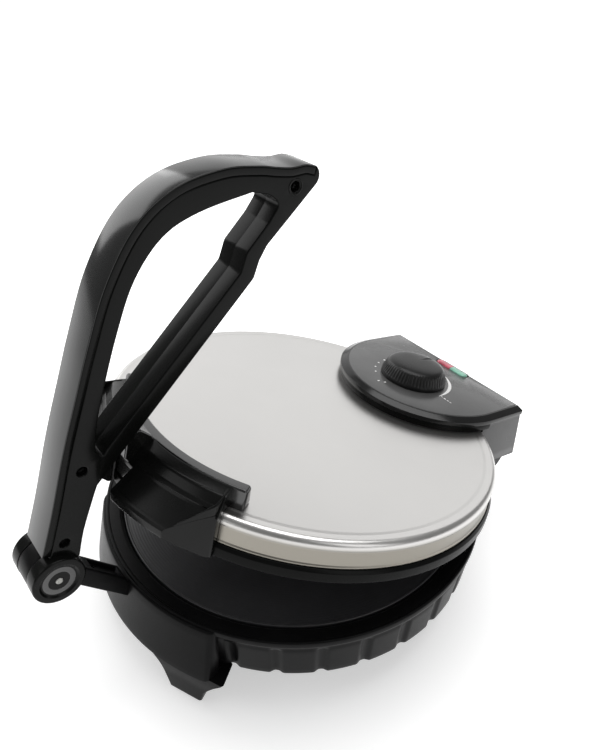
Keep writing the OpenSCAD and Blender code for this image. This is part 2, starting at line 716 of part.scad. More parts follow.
module lid_ring_screws() color([0.7, 0.7, 0.72]) on_rim()
    for (a = ring_screw_angles)
        rotate([0, 0, a]) translate([ring_screw_r, 0, lid_gap + 5 + seat]) screw(2.6, 1.8, 1.4, 3);

module upper_cooking_plate() color([0.1, 0.1, 0.11]) on_rim()
    translate([0, 0, plate_lift]) mirror([0, 0, 1]) cooking_plate();

module upper_heating_element() color([0.45, 0.43, 0.42]) on_rim()
    translate([0, 0, plate_lift]) mirror([0, 0, 1]) heating_coil(6.5);

upper_reflector_z = plate_lift + plate_t + 9;

module upper_heat_reflector() color([0.75, 0.75, 0.76]) on_rim() {
    translate([0, 0, upper_reflector_z]) mirror([0, 0, 1]) reflector();
    for (a = [45, 135, 225, 315])
        rotate([0, 0, a]) translate([60, 0, 0]) rod(3, plate_lift + plate_t + seat, upper_reflector_z - 1 + eps);
}

arm_t = 2.4;
arm_back = hinge_y + 0.9;
arm_screw_y = [hinge_y - 25, hinge_y - 15];
arm_x = (lid_knuckle[0] + lid_knuckle[1]) / 2;

module lid_hinge_arms() color([0.55, 0.55, 0.57]) on_rim() difference() {
    on_both_sides() {
        translate([0, hinge_y, -hinge_drop]) rod_x(knuckle_r, lid_knuckle[0], lid_knuckle[1]);
        // Strap that rises behind the lid and lies on its top
        across(lid_knuckle[0], lid_knuckle[1]) polygon([[arm_back, -hinge_drop], [arm_back, lid_seat + arm_t],
            [arm_screw_y[0] - 6, lid_seat + arm_t], [arm_screw_y[0] - 6, lid_seat], [arm_back - arm_t, lid_seat],
            [arm_back - arm_t, -hinge_drop]]);
    }
    translate([0, hinge_y, -hinge_drop]) rod_x(hinge_pin_r + run, -big, big);
    for (s = [-1, 1], y = arm_screw_y)
        translate([s * arm_x, y, 0]) rod(1.8, lid_h - 1, lid_h + 6);
}

module lid_hinge_screws() color([0.7, 0.7, 0.72]) on_rim()
    for (s = [-1, 1], y = arm_screw_y)
        translate([s * arm_x, y, lid_seat + arm_t + seat]) screw(3.2, 1.6, 1.6, 7);

// Press collar

collar_top = lid_h + collar_rise;
lid_seat = lid_h + seat;

module collar_top_section() {
    polygon([[collar_in_r - 2.5, lid_seat], [collar_in_r, collar_top - 1], [collar_in_r + 1, collar_top],
        [collar_crest_r - 1, collar_top], [collar_crest_r, collar_top - 1], [collar_crest_r + 0.6, lid_seat]]);
}

module collar_wall_section() {
    polygon([[collar_crest_r - 4, collar_top - 0.6], [collar_crest_r, collar_top - 0.6],
        [collar_crest_r + 8, collar_top - 2.4],
        [collar_wall_r - 2, shoulder_z + 1.8], [collar_wall_r, shoulder_z - 1], [collar_wall_r, lid_gap + 0.5],
        [ring_r + 0.2, lid_gap + 0.5], [ring_r + 0.2, ring_top + 0.6], [band_r + 0.2, ring_top + 0.6],
        [band_r + 0.2, lid_h - 3], [band_r - 2, lid_seat + 0.4], [collar_crest_r - 4, lid_seat + 0.4]]);
}

lobe_front_angle = 20.9;
lobe_rear_angle = 30;

// Section of a thumb lobe, grown outward by d
module lobe_section(d) {
    polygon([[collar_wall_r - 5.6, shoulder_z + 6 + d], [lobe_r - 1 + d, lobe_front_z + 1 + d],
        [lobe_r + d, lobe_front_z - 1], [lobe_r + d, lobe_front_z - lobe_edge + 1],
        [lobe_r - 1 + d, lobe_front_z - lobe_edge - d],
        [collar_wall_r + 1, lid_gap + 0.5 - d], [collar_wall_r - 1, lid_gap + 0.5 - d]]);
}

// Plan of the right lobe, drawn in by d
module lobe_plan(d) {
    front = lobe_r * [sin(lobe_front_angle), -cos(lobe_front_angle)];
    rear = collar_wall_r * [sin(lobe_rear_angle), -cos(lobe_rear_angle)];
    polygon([[slot_half_w + d, -collar_wall_r + 6], [slot_half_w + d, -lobe_r - 8],
        front + 0.4 * (front - rear) - [d, 0], rear - [d, 0], 0.96 * rear - [d, 0]]);
}

module lobe(plan_d, section_d) {
    intersection() {
        sweep(-92, -50) lobe_section(section_d);
        linear_extrude(height = 60, center = true) lobe_plan(plan_d);
    }
}

module right_lobe() {
    difference() {
        lobe(0, 0);
        // Hollow underside
        translate([0, 0, -lobe_wall - 1]) lobe(lobe_wall, -lobe_wall);
        // Recessed top
        translate([0, 0, 8 - lobe_recess]) intersection() {
            difference() {
                sweep(-92, -50) polygon([[collar_wall_r + 0.4, 0], [lobe_r - lobe_wall, 0],
                    [lobe_r - lobe_wall, 60], [collar_wall_r + 0.4, 60]]);
                translate([0, 0, -8]) sweep(-93, -49) lobe_section(0);
            }
            linear_extrude(height = 60) lobe_plan(lobe_wall);
        }
    }
}

boss_front = -ring_r - 5;
boss_back = boss_front + 8;
boss_top = pivot_rise + 10.4;

module press_boss() {
    across(-boss_w / 2, boss_w / 2) polygon([[boss_front + 5, lid_h - 2], [boss_front, lid_h + 4],
        [boss_front, boss_top - 3.2], [boss_front + 1, boss_top - 2.5], [boss_back - 1, boss_top],
        [boss_back + 1, boss_top - 0.4], [boss_back + 8, boss_top - 5.4], [-collar_crest_r + 1, collar_top - 1], [-collar_crest_r + 1, lid_h + 3]]);
}

module press_collar() color([0.1, 0.1, 0.11]) on_rim() difference() {
    union() {
        sweep(-90 - collar_half_angle, -90 + collar_half_angle) collar_top_section();
        difference() {
            sweep(-90 - wall_half_angle, -90 + wall_half_angle) collar_wall_section();
            translate([-slot_half_w, -collar_wall_r - 5, -5]) cube([2 * slot_half_w, 20, 31]);
        }
        right_lobe();
        mirror([1, 0, 0]) right_lobe();
        press_boss();
    }
    for (a = collar_screw_angles)
        rotate([0, 0, a]) translate([collar_screw_r, 0, 0]) rod(1.5, lid_h - 1, lid_h + 7);
}

module press_collar_screws() color([0.7, 0.7, 0.72]) on_rim()
    for (a = collar_screw_angles)
        rotate([0, 0, a]) translate([collar_screw_r, 0, lid_h - sheet_t - seat]) rotate([180, 0, 0])
            screw(3.2, 1.6, 1.45, 6.5);

// Control housing

panel_under = panel_top - panel_t;
cheek_front = hinge_y - 22.5;

module d_outline(inset) {
    union() {
        intersection() {
            translate([0, panel_y]) circle(r = panel_r - inset, $fn = smooth_fn);
            translate([-big / 2, panel_y - big]) square([big, big + eps]);
        }
        translate([-panel_r + inset, panel_y]) square([2 * (panel_r - inset), panel_back_y - inset - panel_y]);
    }
}

module control_housing() color([0.33, 0.33, 0.34]) on_rim() difference() {
    union() {
        // Low wall on the steel top
        translate([0, 0, lid_seat]) linear_extrude(height = panel_under - lid_seat - seat) difference() {
            d_outline(1.6);
            d_outline(1.6 + housing_wall);
        }
        // Cheeks behind the lid
        for (s = [-1, 1]) translate([s > 0 ? panel_r - housing_wall - 0.2 : -panel_r + 0.2, 0, 0])
            across(0, housing_wall) polygon([[cheek_front, panel_under - seat], [panel_back_y, panel_under - seat],
                [panel_back_y + housing_lean, -housing_drop], [hinge_y - 9, -housing_drop], [cheek_front, 12]]);
        // Leaning back wall
        across(-panel_r + 0.2, panel_r - 0.2) polygon([[panel_back_y - housing_wall, panel_under - seat],
            [panel_back_y, panel_under - seat], [panel_back_y + housing_lean, -housing_drop],
            [panel_back_y + housing_lean - housing_wall, -housing_drop]]);
        // Bosses for the panel's screws
        for (p = panel_screw_places)
            translate([p[0], p[1], 0]) rod(4, lid_seat, panel_under - seat);
    }
    cylinder_disc(band_r + 0.3, -20, lid_h + 0.02);
    cylinder_disc(ring_r + 0.3, -20, ring_top + 0.3);
    for (p = panel_screw_places)
        translate([p[0], p[1], 0]) rod(1.9, lid_h - 2, panel_top);
}

// Bevelled panel: a cone for the round front and a trapezoid for the straight sides
module panel_body() {
    z1 = panel_top - bevel_h;
    translate([0, 0, panel_under]) linear_extrude(height = z1 - panel_under) d_outline(0);
    intersection() {
        translate([0, panel_y, z1])
            cylinder(r1 = panel_r, r2 = panel_r - bevel, h = bevel_h, $fn = smooth_fn);
        translate([-big / 2, panel_y - big, 0]) cube([big, big + eps, big]);
    }
    translate([0, panel_y, 0]) rotate([90, 0, 180]) linear_extrude(height = panel_back_y - panel_y)
        polygon([[-panel_r, z1], [panel_r, z1], [panel_r - bevel, panel_top], [-panel_r + bevel, panel_top]]);
}

module window_shape(grow) {
    for (s = [-1, 1])
        translate([s * (window_len - window_w) / 2, window_y]) circle(r = window_w / 2 + grow, $fn = 48);
    translate([-(window_len - window_w) / 2, window_y - window_w / 2 - grow])
        square([window_len - window_w, window_w + 2 * grow]);
}

module control_panel() color([0.5, 0.5, 0.5]) on_rim() difference() {
    panel_body();
    translate([0, 0, panel_under - 1]) linear_extrude(height = panel_t + 2) window_shape(seat);
    translate([0, knob_y, 0]) rod(4.5, panel_under - 1, panel_top + 1);
    // Hollow underside
    translate([0, 0, panel_under - 1]) linear_extrude(height = 3) difference() {
        d_outline(6);
        translate([-window_len / 2 - 4, window_y - window_w / 2 - 3]) square([window_len + 8, 20]);
        for (p = panel_screw_places) translate([p[0], p[1]]) circle(r = 5, $fn = 32);
    }
    for (p = panel_screw_places)
        translate([p[0], p[1], 0]) rod(1.5, panel_under - 1, panel_top - 1.6);
}

module control_panel_screws() color([0.7, 0.7, 0.72]) on_rim()
    for (p = panel_screw_places)
        translate([p[0], p[1], lid_h - sheet_t - seat]) rotate([180, 0, 0]) screw(3.4, 1.6, 1.45, 9);

lens_top = panel_top + 0.4;
lens_bottom = panel_under + 0.5;

module lens(side) {
    translate([0, 0, lens_bottom]) intersection() {
        linear_extrude(height = lens_top - lens_bottom) window_shape(0);
        translate([side > 0 ? seat : -big / 2 - seat, 0, -1]) cube([big / 2, big, big]);
    }
}

module red_lens() color([0.75, 0.35, 0.42]) on_rim() lens(-1);

module green_lens() color([0.42, 0.68, 0.58]) on_rim() lens(1);

lamp_z = panel_under - 4;
lamp_y = window_y - 2.6;

module lamp_holder() color([0.85, 0.84, 0.8]) on_rim() difference() {
    translate([-17, lamp_y - 4.5, lamp_z - 4]) cube([34, 9, panel_under - lamp_z + 4 - seat]);
    for (s = [-1, 1])
        translate([s * 8, lamp_y, lamp_z - 5]) rod(3, 0, 12);
}

module neon_lamps() color([0.95, 0.6, 0.3]) on_rim()
    for (s = [-1, 1])
        translate([s * 8, lamp_y, 0]) {
            rod(2.9, lamp_z - 3.5, lamp_z + 1);
            translate([0, 0, lamp_z + 1]) sphere(r = 2.9, $fn = 32);
        }

thermostat_z = upper_reflector_z + seat;

module thermostat_bracket() color([0.7, 0.7, 0.72]) on_rim()
    translate([0, knob_y - 15, 0]) difference() {
        translate([-19, -12, thermostat_z]) cube([38, 24, 1.2]);
        for (s = [-1, 1]) translate([s * 16, 0, 0]) rod(1.6, thermostat_z - 1, thermostat_z + 4);
    }

module thermostat() color([0.88, 0.86, 0.8]) on_rim() difference() {
    translate([-13, knob_y - 26, thermostat_z + 1.2 + seat]) cube([26, 34, 9]);
    translate([0, knob_y, 0]) rod(3 + run, thermostat_z + 5, 40);
}

module thermostat_spindle() color([0.72, 0.72, 0.74]) on_rim()
    translate([0, knob_y, 0]) difference() {
        rod(3, thermostat_z + 5.4, panel_top + knob_h - 6);
        translate([1.9, -5, panel_top + 3]) cube([5, 10, 20]);
    }

knob_base = panel_top + gap;

module control_knob() color([0.2, 0.2, 0.2]) on_rim() translate([0, knob_y, 0]) difference() {
    rotate_extrude($fn = smooth_fn) polygon(concat([[0, knob_base], [knob_r - 0.6, knob_base],
        [knob_r, knob_base + 0.6], [knob_r, knob_base + 4], [knob_r - 1.6, panel_top + knob_h - 6.5]],
        arc(6, 20, 60, 6, [knob_r - 7.2, panel_top + knob_h - 8.5]),
        [[12, panel_top + knob_h - 0.6], [0, panel_top + knob_h]]));
    for (i = [0:knob_flutes - 1])
        rotate([0, 0, 360 / knob_flutes * i]) translate([knob_r + 0.7, 0, knob_base + 3.4])
            rotate([0, -8, 0]) cylinder(r = 1.5, h = 12, $fn = 24);
    difference() {
        rod(3 + run, knob_base - 1, panel_top + knob_h - 5.6);
        translate([1.9 + run, -5, panel_top + 3]) cube([5, 10, 20]);
    }
}

// Lever

module lever_half_body(x_out, barrel_out) {
    difference() {
        union() {
            across(0, x_out) polygon(lever_outline());
            rod_x(barrel_r, 0, barrel_out);
        }
        across(-1, barrel_out + 1) polygon(concat(loop_grip, loop_tip, loop_leg));
        across(-1, boss_w / 2 + 1.1) polygon(channel);
        across(-1, x_out - lever_wall) polygon(concat(part_of(beside(grip_back, cover_t + 2.8), 8, 32),
            back(part_of(beside(grip_back, cover_t + 7.5), 8, 32))));
        // Room for the bracket's knuckle and, while the lever turns, its tongue
        rod_x(knuckle_out + gap, -1, cheek_in);
        across(-1, cheek_in) polygon(concat([[0, 0]],
            arc(big / 4, barrel_slot_from, barrel_slot_to, 24)));
        rod_x(lever_pin_r + 2 + seat, -1, barrel_out - 4);
        rod_x(lever_pin_r + run, -1, barrel_out + 1);
        rod_x(10.2, barrel_out - 2, barrel_out + 1);
    }
}

module lever_right_half() color([0.09, 0.09, 0.1]) at_pivot() difference() {
    lever_half_body(lever_w / 2, barrel_len / 2);
    for (h = lever_holes) translate([0, h[0], h[1]]) {
        rod_x(lever_hole_r, 4.2, lever_w);
        rod_x(1.8, -1, 6);
    }
}

module lever_left_half() color([0.09, 0.09, 0.1]) at_pivot() difference() {
    mirror([1, 0, 0]) lever_half_body(lever_w / 2, barrel_len / 2);
    for (h = lever_holes) translate([0, h[0], h[1]]) rod_x(1.5, -9, 1);
}

module lever_grip_cover() color([0.3, 0.3, 0.31]) at_pivot() difference() {
    across(-lever_w / 2, lever_w / 2) polygon(concat(grip_back, back(beside(grip_back, cover_t - seat))));
    rod_x(barrel_r + 0.3, -big, big);
}

module lever_screws() color([0.5, 0.5, 0.52]) at_pivot()
    for (h = lever_holes) translate([0, h[0], h[1]]) {
        rod_x(lever_hole_r - 0.15, 4.2 + seat, 6.4);
        rod_x(1.45, -8, 4.3);
    }

module lever_pivot_pin() color([0.75, 0.75, 0.77]) at_pivot() {
    rod_x(lever_pin_r, -barrel_len / 2 + 2.4, barrel_len / 2 - 2.4);
    rod_x(pin_nose_r, -barrel_len / 2 + 0.4, barrel_len / 2 - 0.4);
}

module lever_pivot_bushes() color([0.72, 0.6, 0.35]) at_pivot()
    for (s = [-1, 1]) difference() {
        rod_x(lever_pin_r + 2, s > 0 ? cheek_in : -barrel_len / 2 + 4 + seat, s > 0 ? barrel_len / 2 - 4 - seat : -cheek_in);
        rod_x(lever_pin_r + run, -big, big);
    }

module barrel_caps() color([0.08, 0.08, 0.09]) at_pivot()
    for (s = [-1, 1]) difference() {
        rod_x(10.1, s > 0 ? barrel_len / 2 - 1.9 : -barrel_len / 2 + 0.6, s > 0 ? barrel_len / 2 - 0.6 : -barrel_len / 2 + 1.9);
        rod_x(pin_nose_r + run, -big, big);
    }

base_housing();
base_feet();
lower_plate_ring();
lower_cooking_plate();
lower_heating_element();
lower_heat_reflector();
bottom_cover();
bottom_cover_screws();
foot_pads();
cord_gland();
terminal_block();
thermal_fuse();
lever_bracket();
lever_bracket_screws();
rear_hinge_bracket();
hinge_bracket_screws();
hinge_pin();
hinge_pin_clips();
lid_cover();
lid_ring();
upper_cooking_plate();
upper_heating_element();
upper_heat_reflector();
lid_ring_screws();
lid_hinge_arms();
lid_hinge_screws();
press_collar();
press_collar_screws();
control_housing();
control_panel();
control_panel_screws();
thermostat();
thermostat_bracket();
thermostat_spindle();
control_knob();
red_lens();
green_lens();
lamp_holder();
neon_lamps();
lever_pivot_pin();
lever_right_half();
lever_left_half();
lever_grip_cover();
lever_screws();
lever_pivot_bushes();
barrel_caps();
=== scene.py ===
"""Looks for a counter-top roti maker: black moulded base and lever, satin steel lid, grey control panel."""

import json
import math

import bmesh
import bpy
from mathutils import Matrix, Vector


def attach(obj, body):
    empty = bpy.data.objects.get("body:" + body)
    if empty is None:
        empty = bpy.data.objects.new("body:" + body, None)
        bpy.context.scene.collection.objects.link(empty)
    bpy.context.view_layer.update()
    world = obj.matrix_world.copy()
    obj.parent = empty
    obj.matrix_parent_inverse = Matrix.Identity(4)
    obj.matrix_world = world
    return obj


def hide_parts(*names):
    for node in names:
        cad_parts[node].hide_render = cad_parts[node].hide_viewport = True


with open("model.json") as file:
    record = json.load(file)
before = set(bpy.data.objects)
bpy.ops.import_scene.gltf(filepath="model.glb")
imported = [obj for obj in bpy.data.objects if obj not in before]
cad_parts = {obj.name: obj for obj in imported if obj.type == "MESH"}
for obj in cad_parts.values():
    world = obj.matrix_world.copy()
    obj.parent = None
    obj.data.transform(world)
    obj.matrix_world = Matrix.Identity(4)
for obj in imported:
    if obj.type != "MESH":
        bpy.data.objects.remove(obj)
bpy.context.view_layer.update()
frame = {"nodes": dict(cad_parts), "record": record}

# Sizes in millimetres, as in the part's source. Heights are counted from the table for the base,
# from the pivot for the lever and from the base rim, square to the tilted lid, for the lid.
RIM = 72.0
TILT = math.radians(13.5)
HINGE_Y, HINGE_DROP = 146.0, 4.0
PIVOT = Vector((0, -185.0, 40.0))
BARREL_R = 16.2
PANEL_R, PANEL_Y, PANEL_BACK = 72.0, 128.0, 168.0
PANEL_UNDER = 33
HOUSING_FLARE, HOUSING_BELOW = 13, 9
# The object is centred from the front of the lever's barrel to the lowest back edge of the tilted housing
BACK_REACH = (HINGE_Y + (PANEL_BACK + HOUSING_FLARE - HINGE_Y) * math.cos(TILT)
              + (HINGE_DROP - HOUSING_BELOW) * math.sin(TILT))
SHIFT = (BARREL_R - PIVOT[1] - BACK_REACH) / 2
KNOB_Y = 111.0
WINDOW_Y = 161.5

# From millimetres at each group of pieces to metres in the shared frame
MM = Matrix.Scale(0.001, 4)
ON_TABLE = MM @ Matrix.Translation((0, SHIFT, 0))
ON_BASE = MM @ Matrix.Translation((0, SHIFT, RIM))
ON_LEVER = ON_BASE @ Matrix.Translation(PIVOT)
ON_LID = (ON_BASE @ Matrix.Translation((0, HINGE_Y, -HINGE_DROP)) @ Matrix.Rotation(-TILT, 4, "X")
          @ Matrix.Translation((0, -HINGE_Y, HINGE_DROP)))
# From a plate that stands in the YZ plane to one that lies in the XY plane, and back
LAY_DOWN = Matrix(((0, 1, 0, 0), (0, 0, 1, 0), (1, 0, 0, 0), (0, 0, 0, 1)))
STAND_UP = Matrix(((0, 0, 1, 0), (1, 0, 0, 0), (0, 1, 0, 0), (0, 0, 0, 1)))


# ---- small mesh tools ----

def put_in_scene(name, data):
    obj = bpy.data.objects.new(name, data)
    bpy.context.scene.collection.objects.link(obj)
    return obj


def finish_mesh(mesh, smooth_angle=35):
    """Merges doubles, turns faces outwards and shades the mesh."""
    bm = bmesh.new()
    bm.from_mesh(mesh)
    bmesh.ops.remove_doubles(bm, verts=bm.verts, dist=1e-3)
    bmesh.ops.recalc_face_normals(bm, faces=bm.faces)
    bm.to_mesh(mesh)
    bm.free()
    mesh.shade_smooth()
    mesh.set_sharp_from_angle(angle=math.radians(smooth_angle))


def piece(name, mesh, place, body, material, replaces=(), smooth_angle=35, merge=True):
    """A finished piece: its mesh goes to its place in metres and rides on a body."""
    if merge:
        finish_mesh(mesh, smooth_angle)
    mesh.transform(place)
    mesh.name = name
    obj = put_in_scene(name, mesh)
    mesh.materials.clear()
    mesh.materials.append(material)
    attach(obj, body)
    if replaces:
        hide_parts(*replaces)
    return obj


def mesh_of(points, faces):
    mesh = bpy.data.meshes.new("m")
    mesh.from_pydata([tuple(p) for p in points], [], [tuple(f) for f in faces])
    mesh.update()
    return mesh


def join(*meshes):
    """One mesh of several. They stay apart, as parts pushed together do."""
    points, faces = [], []
    for m in meshes:
        start = len(points)
        points += [v.co.copy() for v in m.vertices]
        faces += [[i + start for i in p.vertices] for p in m.polygons]
    return mesh_of(points, faces)


def moved(mesh, matrix):
    mesh.transform(matrix)
    return mesh


def shift(x=0.0, y=0.0, z=0.0):
    return Matrix.Translation((x, y, z))


def turn(degrees):
    return Matrix.Rotation(math.radians(degrees), 4, "Z")


def mirrored(mesh):
    """The mesh's mirror image on the other side of the YZ plane."""
    copy = mesh.copy()
    copy.transform(Matrix.Scale(-1, 4, (1, 0, 0)))
    copy.flip_normals()
    return copy


def rounded(profile, radius, steps=4):
    """A closed or open profile with its corners rounded. A point may carry its own radius."""
    out = []
    n = len(profile)
    for i, p in enumerate(profile):
        own = p[2] if len(p) > 2 else radius
        here = Vector(p[:2])
        before, after = Vector(profile[i - 1][:2]), Vector(profile[(i + 1) % n][:2])
        a, b = (before - here), (after - here)
        plain = own <= 0 or min(a.length, b.length) < 1e-6
        if plain or a.angle(b) / 2 > math.radians(88):
            out.append(here)
            continue
        reach = min(own / math.tan(a.angle(b) / 2), 0.49 * a.length, 0.49 * b.length)
        p0, p1 = here + a.normalized() * reach, here + b.normalized() * reach
        for k in range(steps + 1):
            t = k / steps
            out.append(p0 * (1 - t) ** 2 + here * 2 * t * (1 - t) + p1 * t ** 2)
    return out


def sharp(points):
    """Points that keep their corners when the profile they stand in is rounded."""
    return [(*p, 0) for p in points]


def swept(profile, a0, a1, steps):
    """Sweeps a closed (radius, height) profile about Z from angle a0 to a1, in degrees."""
    full = abs(a1 - a0) >= 359.99
    rows = steps if full else steps + 1
    points, faces, m = [], [], len(profile)
    for i in range(rows):
        a = math.radians(a0 + (a1 - a0) * i / steps)
        points += [(p[0] * math.cos(a), p[0] * math.sin(a), p[1]) for p in profile]
    for i in range(steps):
        j = (i + 1) % rows
        for k in range(m):
            after = (k + 1) % m
            faces.append((i * m + k, j * m + k, j * m + after, i * m + after))
    if not full:
        faces.append(tuple(range(m)))
        faces.append(tuple((rows - 1) * m + k for k in reversed(range(m))))
    return mesh_of(points, faces)


def turned_about_x(profile, steps):
    """Sweeps a closed (x, radius) profile once round the X axis."""
    return moved(swept([(p[1], p[0]) for p in profile], 0, 360, steps), STAND_UP)


def ink(line, z, thick, edge):
    """A printed mark: a thin plate over an outline in the XY plane, with rounded edges."""
    curve = bpy.data.curves.new("ink", "CURVE")
    curve.dimensions = "2D"
    curve.fill_mode = "BOTH"
    curve.extrude = thick / 2 - edge
    curve.bevel_depth = edge
    curve.bevel_resolution = 1
    curve.offset = -edge
    outline = curve.splines.new("POLY")
    outline.points.add(len(line) - 1)
    for point, p in zip(outline.points, line):
        point.co = (p[0], p[1], 0, 1)
    outline.use_cyclic_u = True
    mesh = baked(put_in_scene("ink", curve))
    finish_mesh(mesh)
    return moved(mesh, shift(z=z + thick / 2))


def baked(obj, *helpers):
    """The object's mesh with its modifiers applied. The object and its helpers are removed."""
    bpy.context.view_layer.update()
    graph = bpy.context.evaluated_depsgraph_get()
    out = bpy.data.meshes.new_from_object(obj.evaluated_get(graph))
    for used in (obj, *helpers):
        bpy.data.objects.remove(used)
    return out


def combined(operation, mesh, others):
    """The mesh after a boolean operation with each of the others."""
    obj, helpers = put_in_scene("worked", mesh), []
    for other in others:
        finish_mesh(other)
        helpers.append(put_in_scene("cutter", other))
        modifier = obj.modifiers.new("combine", "BOOLEAN")
        modifier.operation = operation
        modifier.solver = "EXACT"
        modifier.object = helpers[-1]
    return baked(obj, *helpers)


def cut_from(mesh, *cutters):
    """The mesh without what lies inside the cutters."""
    return combined("DIFFERENCE", mesh, cutters)


def common(mesh, other):
    """What both meshes fill."""
    return combined("INTERSECT", mesh, [other])


def softened(mesh, width, angle, segments):
    """The mesh with rounded edges where its faces meet at more than an angle, in degrees."""
    obj = put_in_scene("worked", mesh)
    modifier = obj.modifiers.new("soft", "BEVEL")
    modifier.width = width
    modifier.segments = segments
    modifier.limit_method = "ANGLE"
    modifier.angle_limit = math.radians(angle)
    return baked(obj)


def solid_yz(outline, x0, x1):
    """A plain prism over an outline in the YZ plane."""
    n = len(outline)
    points = [(x0, p[0], p[1]) for p in outline] + [(x1, p[0], p[1]) for p in outline]
    faces = [tuple(range(n)), tuple(range(2 * n - 1, n - 1, -1))]
    faces += [(i, (i + 1) % n, n + (i + 1) % n, n + i) for i in range(n)]
    return mesh_of(points, faces)


def rod_x(radius, x0, x1, steps, edge=0.0):
    """A rod on the X axis, with its two end edges rounded by edge."""
    profile = rounded([(x0, 0, 0), (x0, radius, edge), (x1, radius, edge), (x1, 0, 0)], edge, 3)
    return turned_about_x(profile, steps)


def rod_z(radius, z0, z1, steps, x=0.0, y=0.0):
    """An upright rod at x, y."""
    return moved(swept([(0, z0), (radius, z0), (radius, z1), (0, z1)], 0, 360, steps), shift(x, y))


def spline(points, k):
    """Smooth curve through points, k steps to a span."""
    out = []
    p = [Vector(q) for q in points]
    for i in range(len(p) - 1):
        p0, p1, p2, p3 = p[max(i - 1, 0)], p[i], p[i + 1], p[min(i + 2, len(p) - 1)]
        for j in range(k):
            t = j / k
            out.append(0.5 * (2 * p1 + (p2 - p0) * t + (2 * p0 - 5 * p1 + 4 * p2 - p3) * t * t
                              + (3 * p1 - p0 - 3 * p2 + p3) * t ** 3))
    out.append(p[-1])
    return out


def beside(line, d):
    """The line moved d to its right-hand side."""
    out = []
    for i, p in enumerate(line):
        along = line[min(i + 1, len(line) - 1)] - line[max(i - 1, 0)]
        out.append(p + d * Vector((along[1], -along[0])).normalized())
    return out


def arc(radius, a0, a1, n, centre=(0, 0)):
    """Points on an arc in n steps. Angles are in degrees."""
    angles = [math.radians(a0 + (a1 - a0) * i / n) for i in range(n + 1)]
    return [Vector((centre[0] + radius * math.cos(a), centre[1] + radius * math.sin(a))) for a in angles]


def oriented(line, clockwise=True):
    """A closed outline whose material lies on its right-hand side when it runs clockwise."""
    area = sum(p[0] * q[1] - q[0] * p[1] for p, q in zip(line, line[1:] + line[:1]))
    line = [Vector(p) for p in line]
    return line[::-1] if (area > 0) == clockwise else line


def drawn_in(line, inset):
    """The outline with each point moved to its right-hand side, by one number or one for each point."""
    n, out = len(line), []
    for i, p in enumerate(line):
        a, b = (p - line[i - 1]).normalized(), (line[(i + 1) % n] - p).normalized()
        na, nb = Vector((a[1], -a[0])), Vector((b[1], -b[0]))
        mid = na + nb
        mid = mid / max(mid.length, 1e-6)
        stretch = 1 / max(mid.dot(na), 0.6)
        d = inset[i] if isinstance(inset, list) else inset
        out.append(p + mid * d * stretch)
    return out


def slab(rim, holes, stations, weights=None):
    """A plate over an outline in the YZ plane. Stations are pairs: x, and how far it is drawn in there."""
    loops = [oriented(rim)] + [oriented(h, clockwise=False) for h in holes]
    bm = bmesh.new()
    rows = []
    for x, inset in stations:
        row = []
        for k, loop in enumerate(loops):
            d = [inset * w for w in weights] if weights and k == 0 else inset
            row.append([bm.verts.new((x, p[0], p[1])) for p in drawn_in(loop, d)])
        rows.append(row)
    for a, b in zip(rows, rows[1:]):
        for la, lb in zip(a, b):
            n = len(la)
            for i in range(n):
                bm.faces.new((la[i], la[(i + 1) % n], lb[(i + 1) % n], lb[i]))
    for row in (rows[0], rows[-1]):
        edges = [bm.edges.get(pair) for loop in row for pair in zip(loop, loop[1:] + loop[:1])]
        bmesh.ops.triangle_fill(bm, use_beauty=True, use_dissolve=False, edges=edges)
    bmesh.ops.recalc_face_normals(bm, faces=bm.faces)
    mesh = bpy.data.meshes.new("slab")
    bm.to_mesh(mesh)
    bm.free()
    return mesh


def edge_stations(x0, x1, edge0, edge1, steps=5):
    """Stations of a plate from x0 to x1 whose two edges are rounded by edge0 and edge1."""
    turns = [math.radians(90 * k / steps) for k in range(steps + 1)]
    first = [(x0 + edge0 * (1 - math.sin(t)), edge0 * (1 - math.cos(t))) for t in reversed(turns)]
    return first + [(x1 - edge1 * (1 - math.sin(t)), edge1 * (1 - math.cos(t))) for t in turns]


def to_plan(mesh):
    """Lays down a plate that stands in the YZ plane: its x becomes the height."""
    return moved(mesh, LAY_DOWN)


def prism(outline, z0, z1):
    """A plain block over an outline in the XY plane."""
    return to_plan(slab(outline, [], [(z0, 0), (z1, 0)]))


def loft(rows, ring=False):
    """A skin over rows of points, each a closed loop. In a ring the last row meets the first."""
    m, n = len(rows[0]), len(rows)
    points = [p for row in rows for p in row]
    faces = []
    for i in range(n if ring else n - 1):
        a, b = i * m, (i + 1) % n * m
        faces += [(a + k, a + (k + 1) % m, b + (k + 1) % m, b + k) for k in range(m)]
    if not ring:
        faces.append(tuple(range(m)))
        faces.append(tuple((n - 1) * m + k for k in reversed(range(m))))
    return mesh_of(points, faces)


def smoothstep(t):
    """Rises from 0 to 1 with t, without a corner at either end."""
    t = min(max(t, 0.0), 1.0)
    return t * t * (3 - 2 * t)


def dressed_copy(node, width):
    """A copy of a CAD node's mesh, merged, with its flat faces joined and its sharp edges rounded."""
    mesh = frame["nodes"][node].data.copy()
    bm = bmesh.new()
    bm.from_mesh(mesh)
    bmesh.ops.remove_doubles(bm, verts=bm.verts, dist=2e-6)
    bmesh.ops.dissolve_limit(bm, angle_limit=math.radians(0.6), verts=bm.verts, edges=bm.edges)
    bm.to_mesh(mesh)
    bm.free()
    out = softened(mesh, width, 40, 2)
    for attribute in list(out.attributes):
        if attribute.name in ("custom_normal", "sharp_face", "sharp_edge"):
            out.attributes.remove(attribute)
    out.shade_smooth()
    out.set_sharp_from_angle(angle=math.radians(32))
    return out


# ---- materials ----

